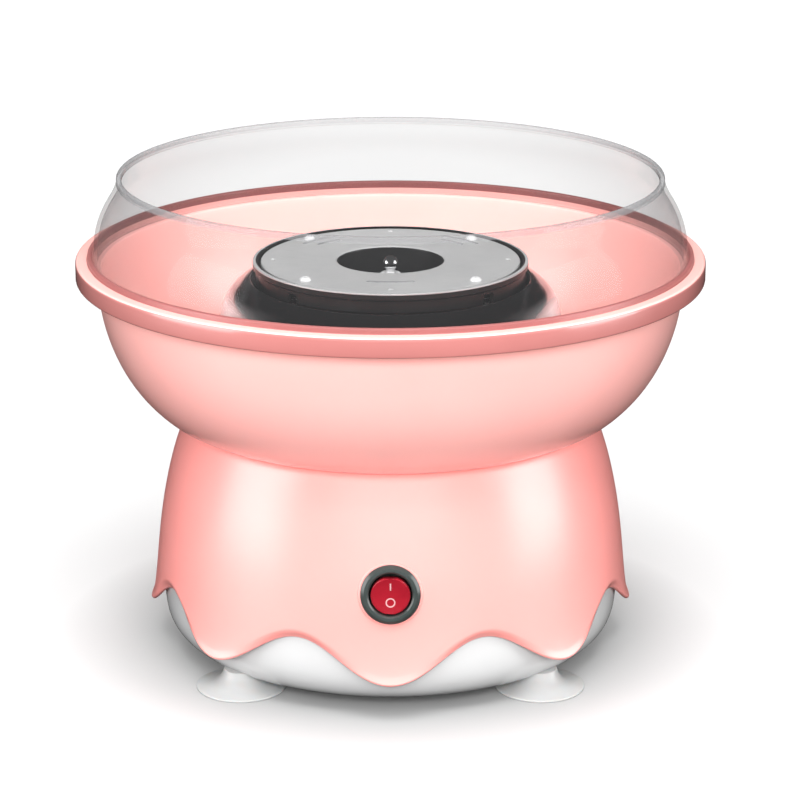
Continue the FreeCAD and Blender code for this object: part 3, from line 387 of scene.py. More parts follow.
def make_materials():
    """Every material: the record's slots by name, and the extra shades that some of the pieces need."""
    return {
        "pink_plastic": moulded("pearl_pink", (0.92, 0.440, 0.405), (0.94, 0.465, 0.428), 0.36, coat=1.0,
                                coat_roughness=0.24, scatter=0.05),
        # ridge_pink and rim_pink are darker copies of the bowl's pink: painted shade on the ridge and the
        # flange.
        "ridge_pink": moulded("ridge_pink", (0.24, 0.082, 0.078), (0.28, 0.096, 0.092), 0.40, coat=0.2,
                              coat_roughness=0.2),
        "rim_pink": moulded("rim_pink", (0.39, 0.140, 0.130), (0.43, 0.158, 0.147), 0.34, coat=1.0,
                            coat_roughness=0.10),
        # cover_pink is a darker copy of the bowl's pink: painted shade on the base cover; pink_plastic on the
        # bowl is the lighter copy.
        "cover_pink": moulded("cover_pink", (0.87, 0.305, 0.280), (0.89, 0.325, 0.298), 0.36, coat=1.0,
                              coat_roughness=0.30, scatter=0.05),
        "bar_grey": moulded("bar_grey", (0.16, 0.16, 0.165), (0.22, 0.22, 0.225), 0.44, patch=120.0),
        "white_plastic": moulded("gloss_white", (0.50, 0.50, 0.502), (0.54, 0.54, 0.54), 0.22, coat=0.4,
                                 coat_roughness=0.05),
        "foot_rubber": moulded("foot_silicone", (0.38, 0.38, 0.38), (0.43, 0.43, 0.428), 0.38, scatter=0.2,
                               grain=0.00002),
        "clear_plastic": clear_film("clear_shield", (0.050, 0.050, 0.052), (0.070, 0.070, 0.072),
                                    least=0.11, most=0.36, blend=0.30),
        "bead_clear": clear_film("clear_bead", (0.20, 0.20, 0.205), (0.25, 0.25, 0.255),
                                 least=0.30, most=0.90, blend=0.50),
        "red_plastic": moulded("rocker_red", (0.25, 0.007, 0.016), (0.30, 0.010, 0.020), 0.24, coat=1.0,
                               coat_roughness=0.16, patch=90.0),
        "switch_plastic": moulded("switch_black", (0.028, 0.036, 0.034), (0.040, 0.048, 0.046), 0.30,
                                  coat=0.2, patch=120.0, grain=0.00002),
        "bush_rubber": moulded("rubber_black", (0.018, 0.018, 0.018), (0.030, 0.030, 0.030), 0.58,
                               specular=0.4, patch=90.0, grain=0.00004),
        "shroud_chrome": chrome_with_painted_reflection(),
        "plate_grey": metal("plate_grey", (0.54, 0.54, 0.543), (0.59, 0.59, 0.59), 0.40, metallic=0.5),
        "dish_black": moulded("dish_black", (0.008, 0.008, 0.008), (0.013, 0.013, 0.013), 0.30, specular=0.25,
                              patch=60.0),
        "screw_steel": metal("screw_steel", (0.74, 0.74, 0.75), (0.82, 0.82, 0.82), 0.34, metallic=0.35),
        "nut_chrome": metal("nut_chrome", (0.80, 0.80, 0.81), (0.86, 0.86, 0.87), 0.24, grain=0.000001),
        "screen_steel": metal("screen_steel", (0.80, 0.80, 0.81), (0.88, 0.88, 0.89), 0.30, metallic=0.4),
        "sheet_steel": metal("zinc_sheet", (0.52, 0.53, 0.54), (0.60, 0.61, 0.62), 0.34, brush=(1, 30, 1)),
        "heater_sheath": metal("heater_sheath", (0.20, 0.18, 0.16), (0.34, 0.28, 0.24), 0.46, patch=80.0),
        "ceramic": moulded("ceramic", (0.78, 0.76, 0.70), (0.85, 0.83, 0.78), 0.62,
                           grain=0.00005, patch=120.0),
        "brass": metal("brass", (0.62, 0.44, 0.18), (0.72, 0.54, 0.25), 0.28),
        "bronze": metal("bronze", (0.46, 0.27, 0.13), (0.58, 0.36, 0.19), 0.42, grain=0.00002),
        "magnet": moulded("ferrite", (0.05, 0.05, 0.055), (0.08, 0.08, 0.085), 0.66,
                          grain=0.00005, patch=150.0),
        "copper_coil": metal("copper_coil", (0.55, 0.20, 0.08), (0.68, 0.30, 0.14), 0.30, brush=(1, 1, 60)),
        "black_plastic": moulded("black_plastic", (0.020, 0.020, 0.022), (0.032, 0.032, 0.034), 0.44,
                                 patch=80.0, grain=0.00003),
        "block_plastic": moulded("block_plastic", (0.66, 0.65, 0.60), (0.74, 0.73, 0.69), 0.46, patch=90.0),
        "board_green": moulded("board_green", (0.020, 0.12, 0.050), (0.030, 0.17, 0.075), 0.36, patch=200.0),
        "wire_red": moulded("wire_red", (0.36, 0.012, 0.012), (0.46, 0.020, 0.018), 0.40, patch=100.0),
        "wire_blue": moulded("wire_blue", (0.015, 0.040, 0.26), (0.025, 0.060, 0.34), 0.40, patch=100.0),
        "mark_white": moulded("mark_white", (0.52, 0.30, 0.31), (0.58, 0.35, 0.36), 0.34, patch=150.0),
        "wire_white": moulded("wire_white", (0.70, 0.70, 0.70), (0.80, 0.80, 0.79), 0.42, patch=100.0),
    }


# ---------------------------------------------------------------- bowl and shield
def paint_faces(piece, skin, chosen):
    """Give a second material to the faces of a turned piece whose radius and height are chosen."""
    piece.data.materials.append(skin)
    slot = len(piece.data.materials) - 1
    for face in piece.data.polygons:
        spot = face.center / MM
        if chosen(math.hypot(spot.x, spot.y), spot.z):
            face.material_index = slot


def make_bowl(skin, ridge_shade_skin, rim_shade_skin):
    """Bowl with its turned-down flange, the ridge that holds the shield and the hole for the shroud."""
    rim_r, ridge_top, floor = radius_of("bowl"), top_of("bowl"), low_of("bowl")
    wall = 2.2
    flange_top = ridge_top - 2.4
    skirt_low = flange_top - 8.4
    ridge_out, ridge_in = rim_r - 5.2, rim_r - 7.3
    ledge = ridge_top - 5.6              # the shield's foot stands here
    hole_r, collar_top = 78.3, floor + 8.0
    paint_low = flange_top - 0.8         # the ridge's painted shade ends here, inside and outside
    skin_reach = 0.3                     # a face this close to a surface belongs to it
    outer = spline([(90.0, floor), (98.0, floor + 3.8), (105.0, floor + 9.5), (110.7, floor + 16.0),
                    (119.3, floor + 31.0), (124.0, floor + 46.0), (125.8, floor + 59.0),
                    (126.2, ridge_top - 7.8)], 60)
    inner = shifted(outer, wall)[::-1]
    rim = [(ridge_out, ridge_top - 7.2, 0.6), (ridge_out, flange_top - wall, 0.6),
           (rim_r - wall, flange_top - wall, 0.8), (rim_r - wall, skirt_low, 0.9), (rim_r, skirt_low, 0.9),
           (rim_r, flange_top, 1.5), (ridge_out, flange_top, 0.5), (ridge_out, ridge_top, 0.9),
           (ridge_in, ridge_top, 0.9), (ridge_in, paint_low), (ridge_in, ledge, 0.3),
           (inner[0][0], ledge, 0.5)]
    hole = [(hole_r + wall, floor + wall, 1.2), (hole_r + wall, collar_top, 1.0),
            (hole_r, collar_top, 1.0), (hole_r, floor, 0.6)]
    outline = rounded(outer + rim + inner[1:] + hole)
    shell = turned("bowl_shell", outline, "bowl", skin, ["bowl"])
    # The ridge and the flange's rim get darker copies of the pink: painted shade.
    paint_faces(shell, ridge_shade_skin, lambda r, z: r < ridge_out + skin_reach and z > paint_low)
    paint_faces(shell, rim_shade_skin, lambda r, z: r > rim_r - skin_reach and z > skirt_low)


def make_shield(skin, bead_skin):
    """Bulged clear ring with a thicker bead along its mouth."""
    foot_r, top, low = radius_of("splash_shield"), top_of("splash_shield"), low_of("splash_shield")
    mouth = foot_r - 10.7
    lip = 2.2
    wall = 1.7
    bead_low, paint_low = top - 2.9, top - 3.1
    foot_low = low + 0.08                # a hair above the ledge, so that the two faces never fight
    outer = spline([(foot_r, low + 0.6), (foot_r - 0.05, low + 4.8), (foot_r - 0.4, low + 9.8),
                    (foot_r - 1.8, low + 16.8), (foot_r - 5.2, low + 24.8), (foot_r - 9.2, low + 31.8),
                    (mouth, low + 36.0)], 48)
    inner = shifted(outer, wall)[::-1]
    bead = [(mouth, top, 1.0), (mouth - lip, top, 1.0), (mouth - lip, bead_low, 0.3)]
    foot = [(foot_r - wall, foot_low, 0.3), (foot_r, foot_low, 0.3)]
    ring = turned("shield_ring", rounded(outer + bead + inner + foot), "shield", skin,
                  ["splash_shield"])
    paint_faces(ring, bead_skin, lambda r, z: z > paint_low)


# ---------------------------------------------------------------- cover, pan and feet
def cover_radius(z):
    """Outer radius of the cover's wall at a height."""
    return float(np.interp(z, COVER_LINE[:, 1], COVER_LINE[:, 0]))


def hem_height(azimuth):
    """Height of the wavy hem, and the wave itself: 1 at the middle of a lobe and -1 at a crest."""
    wave = math.cos(math.radians(HEM_LOBES * (azimuth - 270.0)))
    return HEM_MID - HEM_SWING * wave, wave


def cover_section(azimuth):
    """Outline of the cover at one azimuth: over the deck, down the wall, round the hem and back up inside."""
    deck = DECK_TOP
    wall_points, band_points, nose_points, inner_points = 56, 9, 8, 21
    shoulder_round, shoulder_drop = 1.8, 3.5
    hem, wave = hem_height(azimuth)
    tuck = HEM_TUCK + HEM_FLARE * wave
    line = rounded([(DECK_HOLE_R, deck), (DECK_EDGE_R, deck, shoulder_round),
                    (DECK_EDGE_R + 2.0, deck - shoulder_drop)], 8)[:-1]
    start = line[-1][1]
    for z in np.linspace(start, hem + HEM_BAND, wall_points)[1:]:
        line.append((cover_radius(z), float(z)))
    for s in np.linspace(0, 1, band_points)[1:]:
        z = hem + HEM_BAND - (HEM_BAND - HEM_NOSE) * s
        line.append((cover_radius(z) + tuck * s ** HEM_CURL, float(z)))
    edge_r = line[-1][0]
    for s in np.linspace(0, math.pi, nose_points)[1:]:
        line.append((edge_r - HEM_NOSE * (1 - math.cos(s)), hem + HEM_NOSE - HEM_NOSE * math.sin(s)))
    in_r = line[-1][0]
    for z in np.linspace(hem + HEM_NOSE, deck - COVER_WALL, inner_points)[1:]:
        wall_r = cover_radius(z) - COVER_WALL
        blend = min(1.0, (z - hem - HEM_NOSE) / HEM_BAND)
        line.append((in_r + (wall_r - in_r) * blend if blend < 1 else wall_r, float(z)))
    line.append((DECK_HOLE_R, deck - COVER_WALL))
    return line


def punch(bm, place, radius):
    """Open a round hole through both skins of a wall, and close its edge. A seat ring covers the edge."""
    local = place.inverted()
    depth = 12.0             # reaches both skins of this wall, and not the far side of the cover

    def near(point, reach):
        spot = local @ point / MM
        return math.hypot(spot.x, spot.y) < reach and abs(spot.z) < depth

    gone = [face for face in bm.faces if near(face.calc_center_median(), radius)]
    bmesh.ops.delete(bm, geom=gone, context="FACES")
    rim = [edge for edge in bm.edges if edge.is_boundary]
    for vert in {vert for edge in rim for vert in edge.verts}:
        spot = local @ vert.co
        grow = radius * MM / math.hypot(spot.x, spot.y)
        vert.co = place @ Vector((spot.x * grow, spot.y * grow, spot.z))
    bmesh.ops.bridge_loops(bm, edges=rim)


def make_seat(name, bore_r, face, place, steps, skin):
    """Flat ring that frames a round hole in the cover's wall."""
    rim_r, low = bore_r + 3.4, face - 2.7
    outline = [(bore_r, low), (bore_r, face, 0.2), (rim_r, face, 0.5), (rim_r, low)]
    turned(name, rounded(outline), "base", skin, steps=steps, places=[place])


def make_cover(skin):
    """Cover with a wavy hem whose lower edge turns in at the crests and flares out at the lobes."""
    columns = 48 * HEM_LOBES
    bm = bmesh.new()
    grid = []
    for k in range(columns):
        azimuth = 360.0 * k / columns
        grid.append([bm.verts.new(at(r, azimuth, z)) for r, z in cover_section(azimuth)])
    for here, after in zip(grid, grid[1:] + grid[:1]):
        for i in range(len(here)):
            j = (i + 1) % len(here)
            bm.faces.new((here[i], here[j], after[j], after[i]))
    punch(bm, SWITCH_PLACE, SWITCH_HOLE_R)
    punch(bm, INLET_PLACE, INLET_HOLE_R)
    finish_mesh("cover_shell", bm, "base", skin, ["base_cover"], sharp=50.0)
    make_seat("switch_seat", 10.0, 0.2, SWITCH_PLACE, 96, skin)
    make_seat("inlet_seat", 6.0, 0.0, INLET_PLACE, 72, skin)
    pillar_circle_r, bore_r, pillar_low, pillar_top = 80.0, 1.5, 12.0, DECK_TOP - COVER_WALL
    pillars = [Matrix.Translation(at(pillar_circle_r, azimuth)) for azimuth in (22.5, 157.5, 202.5, 337.5)]
    outline = [(bore_r, pillar_low), (4.5, pillar_low, 0.4), (4.7, pillar_top), (bore_r, pillar_top)]
    turned("cover_pillars", rounded(outline), "base", skin, steps=32, places=pillars)


def make_feet(skin):
    """Soft cups on the pan's four corners, each with a thin lip and a button neck."""
    foot_circle_r = 90.0
    lip_r, neck_r = 19.0, 3.4
    cup_top, pan_top, stud_top = 8.4, 11.0, 13.2
    shape = [(lip_r, 0.0, 0.3), (lip_r, 0.9, 0.4), (16.4, 1.35), (13.6, 2.0), (11.5, 2.75), (9.8, 3.75),
             (8.6, 5.0), (7.8, 6.4), (7.2, cup_top, 0.4), (neck_r, cup_top), (neck_r, pan_top),
             (4.9, pan_top, 0.3), (4.0, stud_top, 0.5), (0.0, stud_top), (0.0, 3.0), (5.0, 2.7), (11.0, 1.4),
             (17.2, 0.0, 0.3)]
    names = {225.0: "front_left_foot", 315.0: "front_right_foot", 45.0: "rear_right_foot",
             135.0: "rear_left_foot"}
    for azimuth, node in names.items():
        turned("cup_" + node, rounded(shape), "base", skin, [node], steps=96,
               places=[Matrix.Translation(at(foot_circle_r, azimuth))], sharp=60.0)


# ---------------------------------------------------------------- switch and cord inlet
def make_switch(skins):
    """Round bezel in the front wall, and the rocker with its two plain marks."""
    bore_r, body_r, bezel_r = 9.0, 9.85, 12.4
    well, back = -9.0, -18.0
    bezel = rounded([(body_r, back, 0.5), (body_r, 0.2), (bezel_r, 0.2, 0.2), (bezel_r, 1.3, 0.5),
                     (11.0, 2.5, 0.5), (9.7, 2.6, 0.3), (bore_r, 1.9, 0.3), (bore_r, well), (0.0, well),
                     (0.0, back)])
    turned("switch_bezel", bezel, "base", skins["switch_plastic"], ["switch_housing"],
           steps=96, places=[SWITCH_PLACE], sharp=32.0)

    rest_tilt = math.radians(11.0)
    pivot = Vector((0, 0, -2.0)) * MM
    tilt = Matrix.Translation(pivot) @ Matrix.Rotation(rest_tilt, 4, "X") @ Matrix.Translation(-pivot)
    place = SWITCH_PLACE @ tilt
    make_rocker(place, skins["red_plastic"])
    make_marks(place, skins["mark_white"])


def make_rocker(place, skin):
    """Rocker key, in rings from the middle of its face outward and then down its side."""
    key_r, half_height, steps = 8.2, 7.75, 96
    side_heights, side_widths = (-6.4, -2.0, 1.6), (0.35, 1.0, 1.0)    # it narrows below its pins
    bm = bmesh.new()
    rings = []
    for inset, drop in ((7.9, 0.0), (6.5, 0.0), (5.0, 0.0), (3.4, 0.0), (1.8, 0.0), (0.9, 0.0), (0.45, 0.0),
                        (0.2, 0.1), (0.06, 0.25), (0.0, 0.5), (0.0, 3.0), (0.0, 5.6)):
        ring = []
        for k in range(steps):
            a = 2 * math.pi * k / steps
            x = (key_r - inset) * math.cos(a)
            y = (key_r - inset) * math.sin(a)
            y = max(-half_height, min(half_height, y))
            z = rocker_face(y) - drop
            if drop > 2.0:
                y *= np.interp(z, side_heights, side_widths)
            ring.append(bm.verts.new(place @ (Vector((x, y, z)) * MM)))
        rings.append(ring)
    bm.faces.new(rings[0])
    bm.faces.new(rings[-1][::-1])
    for inner, outer in zip(rings, rings[1:]):
        for k in range(steps):
            j = (k + 1) % steps
            bm.faces.new((inner[k], outer[k], outer[j], inner[j]))
    finish_mesh("rocker_key", bm, "rocker", skin, ["switch_rocker"], sharp=45.0)


def make_marks(place, skin):
    """The line and the ring on the rocker's face."""
    bar_half, bar_low, bar_high = 0.28, 2.4, 5.6
    ring_out, ring_in, ring_y = 2.0, 1.5, -3.0
    marks = bmesh.new()
    bar = [(-bar_half, bar_low), (bar_half, bar_low), (bar_half, bar_high), (-bar_half, bar_high)]
    add_mark(marks, [bar], place)
    turns = np.linspace(0, 2 * math.pi, 41)[:-1]
    rings = [[(radius * math.cos(a), ring_y + radius * math.sin(a)) for a in turns]
             for radius in (ring_out, ring_in)]
    add_mark(marks, rings, place)
    finish_mesh("rocker_marks", marks, "rocker", skin, sharp=30.0)


def rocker_face(y):
    """Height of the rocker's hollowed face: lowest in the middle."""
    middle, rise, half_height = 0.7, 0.9, 7.7
    return middle + rise * (y / half_height) ** 2


def add_mark(bm, loops, place):
    """Thin raised mark on the rocker's face: one filled loop, or a band between two loops."""
    proud, sunk = 0.12, -0.2

    def raised(point, height):
        x, y = point
        return bm.verts.new(place @ (Vector((x, y, rocker_face(y) + height)) * MM))

    tops = [[raised(p, proud) for p in loop] for loop in loops]
    feet = [[raised(p, sunk) for p in loop] for loop in loops]
    for top, foot in zip(tops, feet):
        for k in range(len(top)):
            j = (k + 1) % len(top)
            bm.faces.new((foot[k], foot[j], top[j], top[k]))
    for ring in (tops, feet):
        if len(ring) == 1:
            bm.faces.new(ring[0])
            continue
        for k in range(len(ring[0])):
            j = (k + 1) % len(ring[0])
            bm.faces.new((ring[0][k], ring[0][j], ring[1][j], ring[1][k]))


def make_inlet(skin):
    """Ribbed rubber bush in the back wall."""
    bore_r, neck_r, flange_r = 3.75, 6.0, 8.5
    face, tail = 3.2, -9.0
    outline = [(bore_r, face, 0.4), (bore_r, tail, 0.3), (5.0, tail, 0.3), (6.9, -5.6, 0.3), (6.9, -5.0, 0.2),
               (neck_r, -5.0), (neck_r, 0.0), (flange_r, 0.0, 0.3), (flange_r, 1.2, 0.3), (7.9, 1.5, 0.1),
               (7.9, 1.9, 0.1), (8.1, 2.1, 0.3), (6.9, face, 0.5)]
    turned("inlet_bush", rounded(outline), "base", skin, ["cord_inlet_bush"], steps=72,
           places=[INLET_PLACE], sharp=35.0)


# ---------------------------------------------------------------- shroud and spinner head
def make_shroud(skin):
    """Polished dome round the spinner head, with a rolled mouth."""
    deck = DECK_TOP
    wall, mouth_r, flange_in = 1.2, 60.2, 64.0
    outer = spline([(76.5, deck), (76.0, deck + 16.0), (75.1, deck + 34.0), (74.1, deck + 42.0),
                    (72.2, deck + 49.0), (69.0, deck + 54.3), (65.2, deck + 57.7), (62.2, deck + 59.7),
                    (60.9, deck + 60.2)], 72)
    inner = shifted(outer, wall)[::-1]
    mouth = [(mouth_r, outer[-1][1] - 0.3, 0.2), (mouth_r, inner[0][1] - 0.6, 0.2)]
    foot = [(inner[-1][0], deck + wall), (flange_in, deck + wall), (flange_in, deck)]
    turned("shroud_dome", rounded(outer + mouth + inner[1:-1] + foot), "base", skin,
           ["heater_shroud"])


def make_dish(skins):
    """Black sugar dish with its outlet ports, and the bright ring round the top plate."""
    low, top, hub_low, hub_top = 150.0, top_of("sugar_dish"), low_of("sugar_dish"), 161.0
    floor = low + 2.0
    ledge = top_of("plate_screws") - 3.9
    head_r = radius_of("sugar_dish")
    wall_r, wall_in = head_r - 1.1, 56.2
    bore_r, hub_r = 2.0, 7.0
    outline = rounded([(bore_r, hub_low), (hub_r, hub_low, 0.4), (hub_r, low), (wall_r, low, 1.6),
                       (wall_r, ledge - 0.9), (head_r, ledge, 0.5), (head_r, top, 0.7),
                       (57.2, top, 0.7), (57.2, ledge), (54.6, ledge), (54.6, ledge - 1.4),
                       (wall_in, ledge - 3.0), (wall_in, floor, 1.0), (hub_r, floor, 0.5),
                       (hub_r, hub_top, 0.3), (bore_r, hub_top)])
    dish = turned("dish_body", outline, "spinner", skins["dish_black"], ["sugar_dish"])
    half, port_low, port_high, corner = 2.8, 160.0, 167.0, 0.7
    port = rounded([(-half, port_low, corner), (half, port_low, corner), (half, port_high, corner),
                    (-half, port_high, corner)])
    ports = bmesh.new()
    for azimuth in CORNERS:
        add_prism(ports, port, 52.0, 64.0, Matrix.Rotation(math.radians(azimuth), 4, "Z"))
    cut_away(dish, ports)
    proud = 0.02             # the ring lies this much outside the black lip
    ring_r, ring_in, ring_top = head_r + proud, 57.8, top + proud
    turned("dish_ring", rounded([(ring_r, top - 0.75, 0.1), (ring_r, ring_top, 0.5), (ring_in, ring_top, 0.3),
                                 (ring_in, top - 0.6, 0.1)]),
           "spinner", skins["plate_grey"])


def add_prism(bm, profile, near, far, place):
    """Bar along +X between two distances, with a cross-section of (y, z) points."""
    ends = [[bm.verts.new(place @ (Vector((x, y, z)) * MM)) for y, z in profile] for x in (near, far)]
    bm.faces.new(ends[0])
    bm.faces.new(ends[1][::-1])
    for k in range(len(profile)):
        j = (k + 1) % len(profile)
        bm.faces.new((ends[0][k], ends[1][k], ends[1][j], ends[0][j]))


def make_plate(skin, well_shade_skin, bar_skin):
    """Top plate with its collar down into the well, plain curved bars and small dimples."""
    top, ledge, well_low = top_of("head_plate"), top_of("head_plate") - 2.4, low_of("head_plate")
    outer_r, well_r = radius_of("head_plate"), 22.8
    collar_r = well_r + 1.4
    outline = [(well_r, well_low, 0.4), (collar_r, well_low, 0.4), (collar_r, ledge),
               (outer_r, ledge, 0.2), (outer_r, top, 0.6), (well_r, top, 1.2)]
    plate = turned("plate_disc", rounded(outline, 7), "spinner", skin, ["head_plate"])
    hole = [(0, ledge - 1), (SCREW_R, ledge - 1), (SCREW_R, top + 1), (0, top + 1)]
    dimple = [(0, top - 0.7), (0.8, top - 0.6), (1.5, top + 0.3), (0, top + 0.3)]
    holes = bmesh.new()
    for shape, azimuths in ((hole, CORNERS), (dimple, (90.0, 180.0, 270.0, 0.0))):
        for azimuth in azimuths:
            add_turned(holes, shape, 24, Matrix.Translation(at(SCREW_CIRCLE_R, azimuth)), closed=False)
    cut_away(plate, holes)
    # The well's inner faces take the dish's black: painted shade in the recess.
    paint_faces(plate, well_shade_skin, lambda r, z: r < well_r + 0.8 and z < top - 0.5)
    bars = bmesh.new()
    for middle, span, radius in ((132.0, 26.0, 47.0), (48.0, 26.0, 47.0), (132.0, 18.0, 41.0),
                                 (48.0, 18.0, 41.0), (270.0, 30.0, 39.0)):
        add_arc_bar(bars, radius, middle - span / 2, middle + span / 2, top)
    finish_mesh("plate_bars", bars, "spinner", bar_skin, sharp=50.0)


def add_arc_bar(bm, radius, first, last, top):
    """Low raised bar that follows a circle, with sloping sides and tapered ends."""
    profile = [(-0.75, -0.2), (-0.75, 0.05), (-0.45, 0.32), (0.45, 0.32), (0.75, 0.05), (0.75, -0.2)]
    end_size, end_degrees = 0.55, 0.9
    rows = []
    for azimuth in np.linspace(first, last, 25):
        end = min(azimuth - first, last - azimuth)
        taper = min(1.0, end_size + 0.45 * end / end_degrees)
        rows.append([bm.verts.new(at(radius + x * taper, azimuth, top + (z if z < 0 else z * taper)))
                     for x, z in profile])
    bm.faces.new(rows[0])
    bm.faces.new(rows[-1][::-1])
    for here, after in zip(rows, rows[1:]):
        for k in range(len(profile)):
            j = (k + 1) % len(profile)
            bm.faces.new((here[k], after[k], after[j], here[j]))


def add_upright(bm, profile, low, high, place):
    """Upright bar with a cross-section of (x, y) points."""
    ends = [[bm.verts.new(place @ (Vector((x, y, z)) * MM)) for x, y in profile] for z in (low, high)]
    bm.faces.new(ends[0])
    bm.faces.new(ends[1][::-1])
    for k in range(len(profile)):
        j = (k + 1) % len(profile)
        bm.faces.new((ends[0][k], ends[1][k], ends[1][j], ends[0][j]))


def make_plate_screws(skin):
    """Four pan-head screws with cross recesses."""
    seat, head_top, low = top_of("head_plate"), top_of("plate_screws"), low_of("plate_screws")
    head_r = 2.5
    outline = rounded([(0.0, low), (1.2, low), (SCREW_R, low + 0.6), (SCREW_R, seat), (head_r, seat, 0.1),
                       (head_r, seat + 0.6, 0.4), (1.5, head_top - 0.02, 0.8), (0.0, head_top)], 6)
    arm, half, depth = 1.2, 0.3, 0.8
    cross = []
    for turn in range(4):
        a = turn * math.pi / 2
        for x, y in ((half, half), (half, arm), (-half, arm)):
            cross.append((x * math.cos(a) - y * math.sin(a), x * math.sin(a) + y * math.cos(a)))
    for azimuth, name in zip(CORNERS, ("rear_right", "rear_left", "front_left", "front_right")):
        stop_angle = math.radians(azimuth * 1.7)         # each screw stopped turning somewhere else
        place = Matrix.Translation(at(SCREW_CIRCLE_R, azimuth)) @ Matrix.Rotation(stop_angle, 4, "Z")
        nodes = ["plate_screws"] if azimuth == CORNERS[0] else []
        screw = turned("plate_screw_" + name, outline, "spinner", skin, nodes, steps=48,
                       places=[place])
        recess = bmesh.new()
        add_upright(recess, cross, head_top - depth, head_top + 0.5, place)
        cut_away(screw, recess)


def make_hub(skins):
    """Washer, hexagon nut and domed cap nut on the end of the shaft."""
    low, top, washer_r = low_of("hub_washer"), top_of("hub_washer"), 6.0
    turned("washer_ring", rounded([(SHAFT_BORE_R, low), (washer_r, low, 0.15), (washer_r, top, 0.25),
                                   (SHAFT_BORE_R, top, 0.1)]),
           "spinner", skins["screw_steel"], ["hub_washer"], steps=64)
    make_hex_nut("hex_nut", low_of("hub_nut"), top_of("hub_nut"), 4.6, SHAFT_BORE_R, skins["screw_steel"])
    low, top = low_of("shaft_cap_nut"), top_of("shaft_cap_nut")
    dome_r, bore_top = 3.4, low + 2.3
    dome = [(dome_r * math.cos(a), top - dome_r + dome_r * math.sin(a))
            for a in np.linspace(0.0, math.pi / 2, 15)[:-1]]
    outline = [(SHAFT_BORE_R, low), (2.9, low, 0.2), (dome_r, low + 0.7, 0.2), *dome, (0.0, top),
               (0.0, bore_top), (SHAFT_BORE_R, bore_top)]
    turned("cap_dome", rounded(outline), "spinner", skins["nut_chrome"], ["shaft_cap_nut"],
           steps=64)


def make_hex_nut(name, low, top, corner_r, bore_r, skin):
    """Hexagon nut whose corners are rounded off top and bottom."""
    flat_r = corner_r * math.cos(math.pi / 6)
    steps = 96
    levels = [(low, flat_r), (low + 0.25, corner_r * 0.96), (low + 0.5, corner_r), (top - 0.5, corner_r),
              (top - 0.25, corner_r * 0.96), (top, flat_r)]
    bm = bmesh.new()
    rings = []
    for z, limit in levels:
        ring = []
        for k in range(steps):
            a = 360.0 * k / steps
            across = flat_r / math.cos(math.radians((a % 60.0) - 30.0))
            ring.append(bm.verts.new(at(min(across, limit), a, z)))
        rings.append(ring)
    for z in (top - 0.2, low + 0.2):
        rings.append([bm.verts.new(at(bore_r, 360.0 * k / steps, z)) for k in range(steps)])
    for here, after in zip(rings, rings[1:] + rings[:1]):
        for k in range(steps):
            j = (k + 1) % steps
            bm.faces.new((here[k], here[j], after[j], after[k]))
    finish_mesh(name, bm, "spinner", skin, ["hub_nut"], sharp=25.0)


def make_screen(skin):
    """Perforated ring inside the dish: melted sugar leaves through its holes."""
    low, high, radius = low_of("outlet_screen"), top_of("outlet_screen"), radius_of("outlet_screen")
    columns, rows = 168, 8
    web, sheet = 0.55, 0.7               # half the metal between two holes, and its thickness
    bm = bmesh.new()
    levels = []
    for i in range(rows + 1):
        z = low + (high - low) * i / rows
        levels.append([bm.verts.new(at(radius - 0.4, 360.0 * k / columns, z)) for k in range(columns)])
    cells = []
    for here, after in zip(levels, levels[1:]):
        for k in range(columns):
            j = (k + 1) % columns
            cells.append(bm.faces.new((here[k], here[j], after[j], after[k])))
    bmesh.ops.inset_individual(bm, faces=cells, thickness=web * MM)
    bmesh.ops.delete(bm, geom=cells, context="FACES")
    screen = finish_mesh("screen_ring", bm, "spinner", skin, ["outlet_screen"])
    wall = screen.modifiers.new("wall", "SOLIDIFY")
    wall.thickness = sheet * MM
    wall.offset = 0.0


# ---------------------------------------------------------------- stage, light and camera
def make_stage():
    """Large pale floor that glows more with distance; its weaker glow near the machine is a painted soft
    shadow under it.
    """
    floor_r, floor_z = 9000.0, -0.05
    bm = bmesh.new()
    add_turned(bm, [(0.0, floor_z), (floor_r, floor_z)], 64, closed=False)
    mesh = bpy.data.meshes.new("floor")
    bm.to_mesh(mesh)
    bm.free()
    floor = bpy.data.objects.new("floor", mesh)
    bpy.context.scene.collection.objects.link(floor)
    n = Nodes("floor_paper")
    n.link(n.mix(n.noise(3.0, 3.0), (0.29, 0.29, 0.29), (0.31, 0.31, 0.31)), "Base Color")
    length = n.tree.nodes.new("ShaderNodeVectorMath")
    length.operation = "LENGTH"
    n.tree.links.new(n.place, length.inputs[0])
    away = length.outputs["Value"]       # distance from the machine's axis, in metres
    shade_in, shade_out, far = 0.080, 0.150, 0.9
    # The glow dips close to the machine: a painted shadow that fades out between shade_in and shade_out.
    glow_with_painted_shadow = n.combine("ADD", n.range(away, 0.0, 0.47, shade_in, shade_out),
                     n.range(away, 0.0, 0.15, shade_out, far))
    n.link(glow_with_painted_shadow, "Emission Strength")
    n.set(Roughness=0.85, Specular_IOR_Level=0.2, Emission_Color=(1, 1, 1, 1))
    mesh.materials.append(n.material)
    floor.visible_diffuse = False
    floor.visible_glossy = False


def add_panel(name, place, target, size, power, glossy=True):
    """Soft rectangular lamp at a place, in metres, that faces a target."""
    lamp = bpy.data.lights.new(name, "AREA")
    lamp.shape = "RECTANGLE"
    lamp.size, lamp.size_y = size
    lamp.energy = power
    holder = bpy.data.objects.new(name, lamp)
    holder.visible_glossy = glossy
    holder.location = place
    holder.rotation_euler = (Vector(target) - Vector(place)).to_track_quat("-Z", "Y").to_euler()
    bpy.context.scene.collection.objects.link(holder)


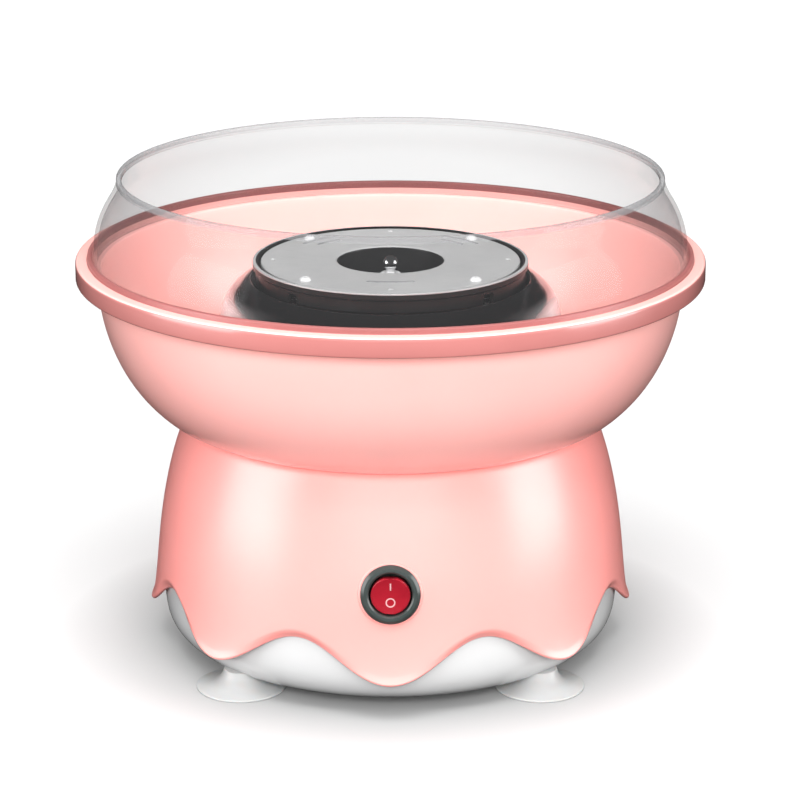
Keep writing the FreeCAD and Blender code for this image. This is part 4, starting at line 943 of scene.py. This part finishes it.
def make_world():
    """Studio surround that is brightest in front and above."""
    world = bpy.data.worlds.new("studio")
    bpy.context.scene.world = world
    world.use_nodes = True
    tree = world.node_tree
    way = tree.nodes.new("ShaderNodeTexCoord").outputs["Generated"]
    parts = tree.nodes.new("ShaderNodeSeparateXYZ")
    tree.links.new(way, parts.inputs[0])
    both = tree.nodes.new("ShaderNodeMath")
    both.operation = "MULTIPLY"
    front_to_back, below_to_above = ("Y", -1.0, 1.0, 1.35, 1.00), ("Z", -0.6, 0.5, 0.35, 1.0)
    for k, (axis, *numbers) in enumerate((front_to_back, below_to_above)):
        fade = tree.nodes.new("ShaderNodeMapRange")
        for socket, value in zip(("From Min", "From Max", "To Min", "To Max"), numbers):
            fade.inputs[socket].default_value = value
        tree.links.new(parts.outputs[axis], fade.inputs["Value"])
        tree.links.new(fade.outputs["Result"], both.inputs[k])
    tree.links.new(both.outputs["Value"], tree.nodes["Background"].inputs["Strength"])


def make_light():
    """Soft studio light: the surround, four boxes that leave no reflection, and two at the sides that do."""
    make_world()
    centre = (0.0, 0.0, 0.12)
    add_panel("front_box", (0.0, -2.0, 1.00), centre, (2.2, 0.8), 62.0, glossy=False)
    add_panel("low_box", (0.0, -1.7, 0.22), centre, (1.8, 0.3), 14.0, glossy=False)
    add_panel("left_box", (-1.3, -0.45, 0.42), centre, (0.9, 1.0), 14.0)
    add_panel("right_box", (1.35, -0.30, 0.42), centre, (0.8, 1.0), 14.0)
    add_panel("top_box", (0.0, -0.6, 1.7), centre, (1.2, 1.0), 46.0, glossy=False)
    add_panel("back_box", (0.0, 1.9, 0.9), centre, (2.2, 0.8), 30.0, glossy=False)


def make_camera():
    """Camera in front, looking down a little, far enough for a flat perspective."""
    dip = 17.131             # degrees below the horizontal
    lens = bpy.data.cameras.new("front_camera")
    lens.sensor_width = 36.0
    lens.lens = 130.86
    lens.shift_x = 0.0119
    camera = bpy.data.objects.new("front_camera", lens)
    camera.location = (0.0, -1.214, 0.4822)
    camera.rotation_euler = (math.radians(90.0 - dip), 0.0, 0.0)
    bpy.context.scene.collection.objects.link(camera)
    bpy.context.scene.camera = camera


# ---------------------------------------------------------------- the whole machine
def paint_frame(skins):
    """Give every CAD node the material of its slot."""
    for part in frame["record"]["subparts"]:
        node = frame["nodes"][part["node"]]
        node.data.materials.clear()
        node.data.materials.append(skins[part["material_slot"]])


skins = make_materials()
paint_frame(skins)
make_bowl(skins["pink_plastic"], skins["ridge_pink"], skins["rim_pink"])
make_shield(skins["clear_plastic"], skins["bead_clear"])
make_cover(skins["cover_pink"])
make_feet(skins["foot_rubber"])
make_switch(skins)
make_inlet(skins["bush_rubber"])
make_shroud(skins["shroud_chrome"])
make_dish(skins)
make_plate(skins["plate_grey"], skins["dish_black"], skins["bar_grey"])
make_plate_screws(skins["screw_steel"])
make_hub(skins)
make_screen(skins["screen_steel"])
make_stage()
make_light()
make_camera()
bpy.context.scene.view_settings.view_transform = "Standard"
